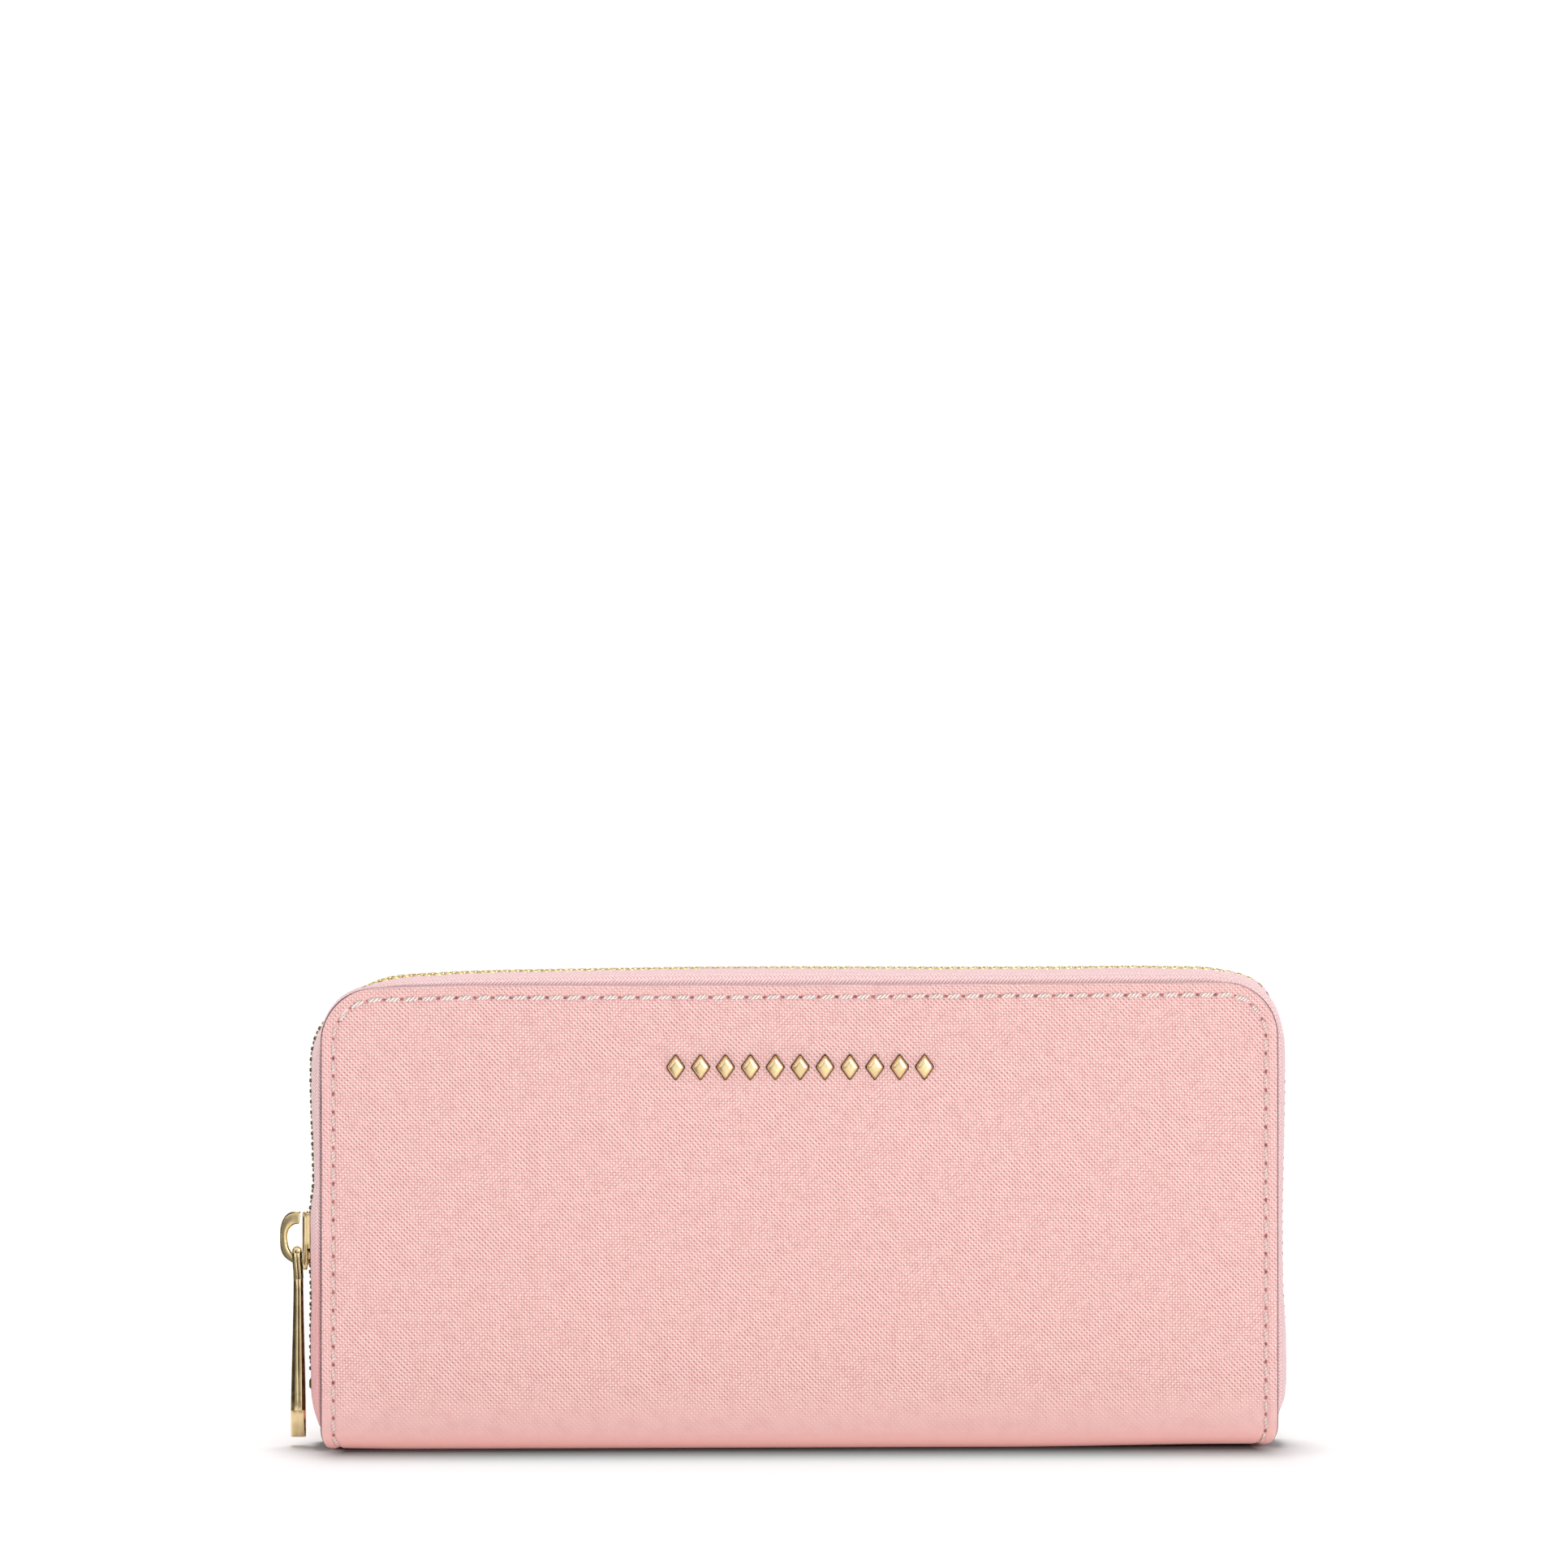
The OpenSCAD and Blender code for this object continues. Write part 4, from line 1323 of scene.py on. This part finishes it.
def slab(build, x_low, x_high, z_low, z_high, face, back, turn, top_line, sag=0.0):
    """An upright sheet with rounded edges, from y = -face to y = -back. top_line is how far below
    its top a shallow line is pressed along it, and sag is how far its top sags in the middle."""
    half = abs(back - face) / 2
    toward = 1 if back > face else -1
    columns = slab_marks(x_low, x_high, 2)
    heights = slab_marks(z_low, z_high, 4, (2.3, 2.0, 1.8, 1.6, 1.2))

    def inward(x, z):
        """How far the edges round off, as a share of the half thickness."""
        gap = min(x - x_low, x_high - x, z - z_low, z_high - z)
        return 1 - math.sqrt(max(0, 1 - (1 - min(gap / 0.3, 1)) ** 2))
    fronts, backs, uvs = [], [], []
    for z in heights:
        front_row, back_row, uv = [], [], []
        for x in columns:
            edge = inward(x, z)
            line = 0.1 * math.exp(-((z_high - z - top_line) / 0.22) ** 2)
            drop = sag * (1 - ((2 * x - x_low - x_high) / (x_high - x_low)) ** 2)
            drop *= smooth(z, z_low, z_high)
            near = face + (half * edge + line) * toward
            far = back - half * edge * toward
            front_row.append((x, -near * turn, z - drop))
            back_row.append((x, -far * turn, z - drop))
            uv.append((x, z))
        fronts.append(front_row)
        backs.append(back_row)
        uvs.append(uv)
    build.loft(fronts, around=False, uvs=uvs)
    build.loft(backs, around=False, uvs=uvs, flip=True)


POCKET_COUNT = 4


def pocket(side, k, turn):
    """One stepped card pocket, in two halves that meet at the cover's middle."""
    low, high = node_box(f"{side}_card_pocket_{k}")
    face = min(abs(low.y), abs(high.y))
    back = max(abs(low.y), abs(high.y))
    build = Build()
    gap = 0.35
    for x_low, x_high in ((low.x, -gap), (gap, high.x)):
        slab(build, x_low, x_high, low.z, high.z, face + 0.01, back, turn, top_line=1.7, sag=0.35)
    piece = build.make(f"{side}_pocket_{k}", [pocket_leather], weld=0.004, smooth_angle=50)
    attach(piece, side + "_half")
    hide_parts(f"{side}_card_pocket_{k}")


def pocket_stitches(side, turn):
    """Rows of small stitches that hold the pockets: at both ends, and beside the middle."""
    build = Build()
    low, high = node_box(f"{side}_card_pocket_1")
    steps = [node_box(f"{side}_card_pocket_{k}") for k in range(1, POCKET_COUNT + 1)]
    inset, pitch = 1.6, 2.7
    for x in (low.x + inset, -inset, inset, high.x - inset):
        z = low.z + 2
        while z < high.z - 1:
            inner = [box for box in steps if box[1].z > z + 1.2]
            face = min(min(abs(box[0].y), abs(box[1].y)) for box in inner)

            def place(p, x=x, z=z, face=face):
                return (x + p[1], -(face - 0.02 - p[2]) * turn, z + p[0])
            strand(build, place, length=2.0, radius=0.22, plies=2, turns=1.2, rise=0.22)
            z += pitch
    piece = build.make(side + "_pocket_stitches", [thread], smooth_angle=80)
    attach(piece, side + "_half")


for side, turn in SIDES:
    for k in range(1, POCKET_COUNT + 1):
        pocket(side, k, turn)
    pocket_stitches(side, turn)


# ---------------------------------------------------------------- coin pocket
COIN_HALF_W = COIN_HIGH.x
COIN_OUT = -COIN_LOW.y
COIN_WALL_IN = -COIN_HIGH.y
COIN_H = COIN_HIGH.z
COIN_FOOT = COIN_LOW.z
lining_low, lining_high = node_box("coin_pocket_lining")
tape_low, tape_high = node_box("coin_zip_tapes")


def coin_wall(side, turn):
    """One wall of the coin pocket, and the row of stitches along its top."""
    build = Build()
    slab(build, -COIN_HALF_W, COIN_HALF_W, COIN_FOOT, COIN_H, COIN_OUT, COIN_WALL_IN, turn,
         top_line=2.0)
    wall = build.make(f"coin_wall_{side}", [pocket_leather], weld=0.004, smooth_angle=50)
    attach(wall, "spine")
    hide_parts("coin_pocket_" + side)
    build = Build()
    x, pitch = -COIN_HALF_W + 4, 3.1
    while x < COIN_HALF_W - 3:
        def place(p, x=x):
            return (x + p[0], -(COIN_OUT - 0.02 + p[2]) * turn, COIN_H - 2.0 + p[1])
        strand(build, place, length=2.3, radius=0.24, plies=2, turns=1.3, rise=0.24)
        x += pitch
    row = build.make(f"coin_stitches_{side}", [thread], smooth_angle=80)
    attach(row, "spine")


for side, turn in SIDES:
    coin_wall(side, turn)

COIN_LINING_T = 0.4
COIN_FOOT_R = 1.6


def thin_sheet(name, line, low, high, thickness, material, step=2.0, shape=None):
    """A sheet swept along X from low to high: line is its section, as (y, z) points. shape, if
    given, moves each point a little."""
    section = thickened(line, [thickness / 2] * len(line))
    across = runs_of(section)
    rows, uvs = [], []
    steps = max(2, round((high - low) / step))
    for i in range(steps + 1):
        x = low + (high - low) * i / steps
        row = [(x, y, z) for y, z in section]
        rows.append([shape(p) for p in row] if shape else row)
        uvs.append([(x, a) for a in across])
    build = Build()
    build.loft(rows, uvs=uvs)
    return build.make(name, [material], smooth_angle=60)


coin_lining_y = lining_high.y - COIN_LINING_T / 2
lining_line = [(-coin_lining_y, z)
               for z in np.linspace(lining_high.z, COIN_FOOT + COIN_FOOT_R, 24)]
lining_line += [(-coin_lining_y + COIN_FOOT_R * (1 - math.cos(a)),
                 COIN_FOOT + 0.25 + (COIN_FOOT_R - 0.25) * (1 - math.sin(a)))
                for a in np.linspace(0.2, math.pi / 2, 6)]
lining_line += [(-y, z) for y, z in reversed(lining_line[:-1])]
coin_cloth = thin_sheet("coin_lining_cloth", lining_line, lining_low.x, lining_high.x,
                        COIN_LINING_T, lining_cloth)
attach(coin_cloth, "spine")
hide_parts("coin_pocket_lining")

# The narrow strips that close the coin pocket's two ends, each with a soft inward fold
strip_low, strip_high = node_box("coin_pocket_gusset")
strip_foot, strip_top = strip_low.z + 1.2, tape_high.z - 1.0
# How far the strips' outer and inner faces lie inside the CAD strip's end, and how deep they fold
STRIP_OUT, STRIP_IN = 0.15, 0.6
STRIP_TUCK = 0.85
strip_half = strip_high.y - 0.05
strip_line = [(-strip_half + 2 * strip_half * k / 10, STRIP_TUCK * math.sin(math.pi * k / 10))
              for k in range(11)]
build = Build()
for end in (-1, 1):
    rows, uvs = [], []
    for i in range(26):
        z = strip_foot + (strip_top - strip_foot) * i / 25
        outer = [(end * (strip_high.x - STRIP_OUT - tuck), y, z) for y, tuck in strip_line]
        inner = [(end * (strip_high.x - STRIP_IN - tuck), y, z) for y, tuck in strip_line]
        rows.append(outer + inner[::-1])
        uv = [(y, z) for y, _ in strip_line]
        uvs.append(uv + uv[::-1])
    build.loft(rows, uvs=uvs)
coin_strips = build.make("coin_end_strips", [lining_cloth], smooth_angle=60)
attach(coin_strips, "spine")
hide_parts("coin_pocket_gusset")

# Coin zip: two tapes that come up inside the walls and turn over to the teeth
COIN_TAPE_T = 0.4
COIN_TAPE_R = 0.9
coin_tape_y = tape_high.y - COIN_TAPE_T / 2
coin_tape_z = tape_high.z - COIN_TAPE_T / 2
coin_edge_y = TAPE_EDGE_Y * COIN_SCALE


def ripple(p):
    """Makes the coin zip's tapes slightly uneven where they lie above the pocket's walls."""
    x, y, z = p
    return (x, y, z + 0.05 * smooth(z, COIN_H, tape_high.z) * wander(x, y, 5.0, 4.0))


for side, turn in SIDES:
    line = [(-coin_tape_y * turn, z)
            for z in np.linspace(tape_low.z, coin_tape_z - COIN_TAPE_R, 8)]
    line += [(-(coin_tape_y - COIN_TAPE_R * (1 - math.cos(a))) * turn,
              coin_tape_z - COIN_TAPE_R * (1 - math.sin(a)))
             for a in np.linspace(0.2, math.pi / 2, 7)]
    line += [(-(coin_edge_y + 0.1) * turn, coin_tape_z), (-coin_edge_y * turn, coin_tape_z)]
    cloth = thin_sheet(f"coin_tape_{side}", line, tape_low.x, tape_high.x, COIN_TAPE_T,
                       tape_cloth, step=1.5, shape=ripple)
    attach(cloth, "spine")
    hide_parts("coin_zip_tapes")

COIN_PITCH = 1.6
COIN_TOOTH_L = 1.1 * COIN_SCALE
teeth_low, teeth_high = node_box("coin_zip_teeth")
first_x = teeth_low.x + COIN_TOOTH_L / 2
tooth_gaps = round((teeth_high.x - teeth_low.x - COIN_TOOTH_L) / (COIN_PITCH / 2))
build = Build()
for i in range(tooth_gaps + 1):
    turn = -1 if i % 2 else 1

    def place(p, i=i, turn=turn):
        return (first_x + i * COIN_PITCH / 2 + COIN_SCALE * p[0], turn * COIN_SCALE * p[1],
                COIN_Z + COIN_SCALE * p[2])
    tooth(build, place, length=0.94)
coin_teeth = build.make("coin_teeth", [gold], bevel=0.04, segments=1, smooth_angle=40)
build = Build()
stop_high = node_box("coin_zip_stops")[1]
for end in (-1, 1):
    for turn in (-1, 1):
        def place(p, end=end, turn=turn):
            return (end * (stop_high.x - 0.9 * COIN_SCALE) + COIN_SCALE * p[0],
                    turn * COIN_SCALE * min(p[1], -0.15), COIN_Z + COIN_SCALE * p[2])
        tooth(build, place, length=1.7)
coin_stops = build.make("coin_stops", [gold], bevel=0.08, smooth_angle=40)
for piece, node in ((coin_teeth, "coin_zip_teeth"), (coin_stops, "coin_zip_stops")):
    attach(piece, "spine")
    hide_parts(node)


# ---------------------------------------------------------------- gussets
GUSSET_T = 0.5
# How far its top falls on its way in to the coin pocket
GUSSET_FALL = 7
# The line of the front right gusset's pleats, as (x, distance in front of the middle) points
GUSSET_LINE = [(83.6, 3.8), (86.5, 3.82), (90.5, 4.0), (93.4, 4.25), (94.4, 4.75), (93.4, 5.25),
               (89.0, 5.55), (84.0, 5.75), (81.3, 5.9), (80.4, 6.35), (81.3, 6.8), (84.5, 7.05),
               (88.0, 7.3), (90.2, 8.2), (91.4, 9.1), (93.0, 9.38), (95.3, 9.4)]


def gusset(side, turn, end_name, end):
    """A pleated strip from the coin pocket's end out to the cover's lining."""
    low, high = node_box(f"{side}_{end_name}_gusset")
    line = curve_through(GUSSET_LINE, 64)
    normals = normals_of(line)
    runs = runs_of(line)
    total = runs[-1]
    steps = 30
    rows, uvs = [], []
    for j in range(steps + 1):
        outer, inner, uv = [], [], []
        for (x, y), (nx, ny), run in zip(line, normals, runs):
            share = run / total
            top = high.z - GUSSET_FALL * (1 - share) + 1.2 * math.sin(share * math.pi * 3)
            z = low.z + (min(top, high.z) - low.z) * (j / steps)
            sway = 0.14 * wander(run, z, 9.0, 6.0) * math.sin(share * math.pi)
            for points, reach in ((outer, GUSSET_T / 2 + sway), (inner, sway - GUSSET_T / 2)):
                points.append((end * (x + nx * reach), -(y + ny * reach) * turn, z))
            uv.append((run, z))
        rows.append(outer + inner[::-1])
        uvs.append(uv + uv[::-1])
    build = Build()
    build.loft(rows, uvs=uvs)
    piece = build.make(f"{side}_{end_name}_pleats", [lining_cloth], smooth_angle=75)
    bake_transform(piece)
    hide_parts(f"{side}_{end_name}_gusset")


for side, turn in SIDES:
    for end_name, end in (("left", -1), ("right", 1)):
        gusset(side, turn, end_name, end)


# ---------------------------------------------------------------- floor and light
def flat_square(name, width, depth, material):
    """A level rectangle that is part of the picture, and not of the wallet. In metres."""
    mesh = bpy.data.meshes.new(name)
    corners = [(-width / 2, -depth / 2, 0), (width / 2, -depth / 2, 0),
               (width / 2, depth / 2, 0), (-width / 2, depth / 2, 0)]
    mesh.from_pydata(corners, [], [(0, 1, 2, 3)])
    mesh.materials.append(material)
    obj = linked(name, mesh)
    return obj


floor_tree = Tree("floor_white")
floor_grain = floor_tree.noise(floor_tree.in_place(), 40, 2.0)
floor_material = floor_tree.finish(
    floor_tree.mix(floor_grain, (0.93, 0.93, 0.93, 1), (0.95, 0.95, 0.95, 1)), 0.9,
    Specular_IOR_Level=0.1)
floor = flat_square("floor", 24, 24, floor_material)
# The floor lies just under the film of shadow, and both just under the wallet
floor.location = (0, 0, -0.00002)


def contact_shadow(name, half_w, half_d, run):
    """A film that darkens the floor close to the wallet's foot, and fades out over run. half_w
    and half_d are half the foot's width and depth, all in metres."""
    tree = Tree(name)
    x, y, _ = tree.split(tree.in_place())
    across = abs(x)
    beside = tree.maths("MAXIMUM", across - half_w, 0.0)
    before = tree.maths("MAXIMUM", abs(y) - half_d, 0.0)
    beside = beside * 3.5
    far = tree.maths("SQRT", beside * beside + before * before)
    share = tree.maths("EXPONENT", far / -run) * 0.88
    # The floor in front takes up the leather's pink, and the clear part takes it out again
    pink = tree.ramp(far, 0.0, 3.3 * run, 0.19, 0.0) * tree.ramp(y, -half_d, half_d, 1.0, 0.0)
    pink = pink * tree.ramp(across, half_w - 0.04, half_w + 0.004, 1.0, 0.0)
    tint = tree.mix(pink, (1, 1, 1, 1), (0, 1, 1, 1))
    clear = tree.node("BsdfTransparent", {"Color": tint})
    black = tree.node("Emission", {"Strength": 0.0})
    mixed = tree.node("MixShader", {0: share, 1: clear.outputs[0], 2: black.outputs[0]})
    return tree.show(mixed)


film = flat_square("contact_shadow", 0.4, 0.24,
                   contact_shadow("contact_film", half_w=0.093, half_d=0.0125, run=0.0155))
film.location = (0, 0, -0.00001)
unseen(film, "diffuse", "glossy", "shadow", "transmission")

world = bpy.data.worlds.new("studio")
scene.world = world
world.use_nodes = True
# The sky is brightest level with the wallet, and dims overhead
sky = world.node_tree
sky.nodes["Background"].inputs["Color"].default_value = (1, 1, 1, 1)
direction = sky.nodes.new("ShaderNodeTexCoord")
parts = sky.nodes.new("ShaderNodeSeparateXYZ")
fade = sky.nodes.new("ShaderNodeMapRange")
fade.interpolation_type = "SMOOTHSTEP"
for socket, value in (("From Min", 0.3), ("From Max", 0.75), ("To Min", 1.12), ("To Max", 0.34)):
    fade.inputs[socket].default_value = value
sky.links.new(direction.outputs["Generated"], parts.inputs[0])
sky.links.new(parts.outputs["Z"], fade.inputs["Value"])
sky.links.new(fade.outputs["Result"], sky.nodes["Background"].inputs["Strength"])


def soft_light(name, place, target, width, height, power):
    """A rectangular lamp at place that faces target, in metres and watts."""
    data = bpy.data.lights.new(name, "AREA")
    data.shape = "RECTANGLE"
    data.size, data.size_y = width, height
    data.energy = power
    light = linked(name, data)
    light.location = place
    light.rotation_euler = (Vector(target) - Vector(place)).to_track_quat("-Z", "Y").to_euler()
    unseen(light, "camera")


soft_light("key", (0.6, -1.5, 0.2), (0, 0, 0.05), width=0.6, height=0.4, power=5.2)

sun_data = bpy.data.lights.new("overhead", "SUN")
sun_data.energy = 1.8
sun_data.angle = math.radians(16)
overhead = linked("overhead", sun_data)
overhead.rotation_euler = (math.radians(-9), 0, 0)

# Cards that only reflections see: dark ones at the sides, and grey ones in front of the puller,
# on the floor and upright. Each has its place in metres, its turn in degrees, and its size.
dark = Tree("dark_card").finish((0.012, 0.011, 0.008, 1), 0.9)
grey_tree = Tree("grey_card")
grey = grey_tree.show(grey_tree.node("Emission", {"Color": (1, 1, 1, 1), "Strength": 0.28}))
CARDS = [
    ("card_left", dark, (-0.7, -0.35, 0.05), (0, 90, 20), 0.62, 1.0),
    ("card_right", dark, (0.7, -0.35, 0.05), (0, 90, -20), 0.62, 1.0),
    ("card_floor", grey, (-0.25, -0.67, 0.0004), (0, 0, 0), 0.3, 1.28),
    ("card_front", grey, (-0.26, -1.3, 0.08), (90, 0, 0), 0.4, 0.16),
]
for name, material, place, turned, width, depth in CARDS:
    card = flat_square(name, width, depth, material)
    card.location = place
    card.rotation_euler = [math.radians(angle) for angle in turned]
    unseen(card, "camera", "diffuse", "shadow", "transmission")

scene.view_settings.view_transform = "Standard"
scene.view_settings.look = "None"
scene.view_settings.exposure = 0.0
scene.view_settings.gamma = 1.0

bpy.context.view_layer.update()
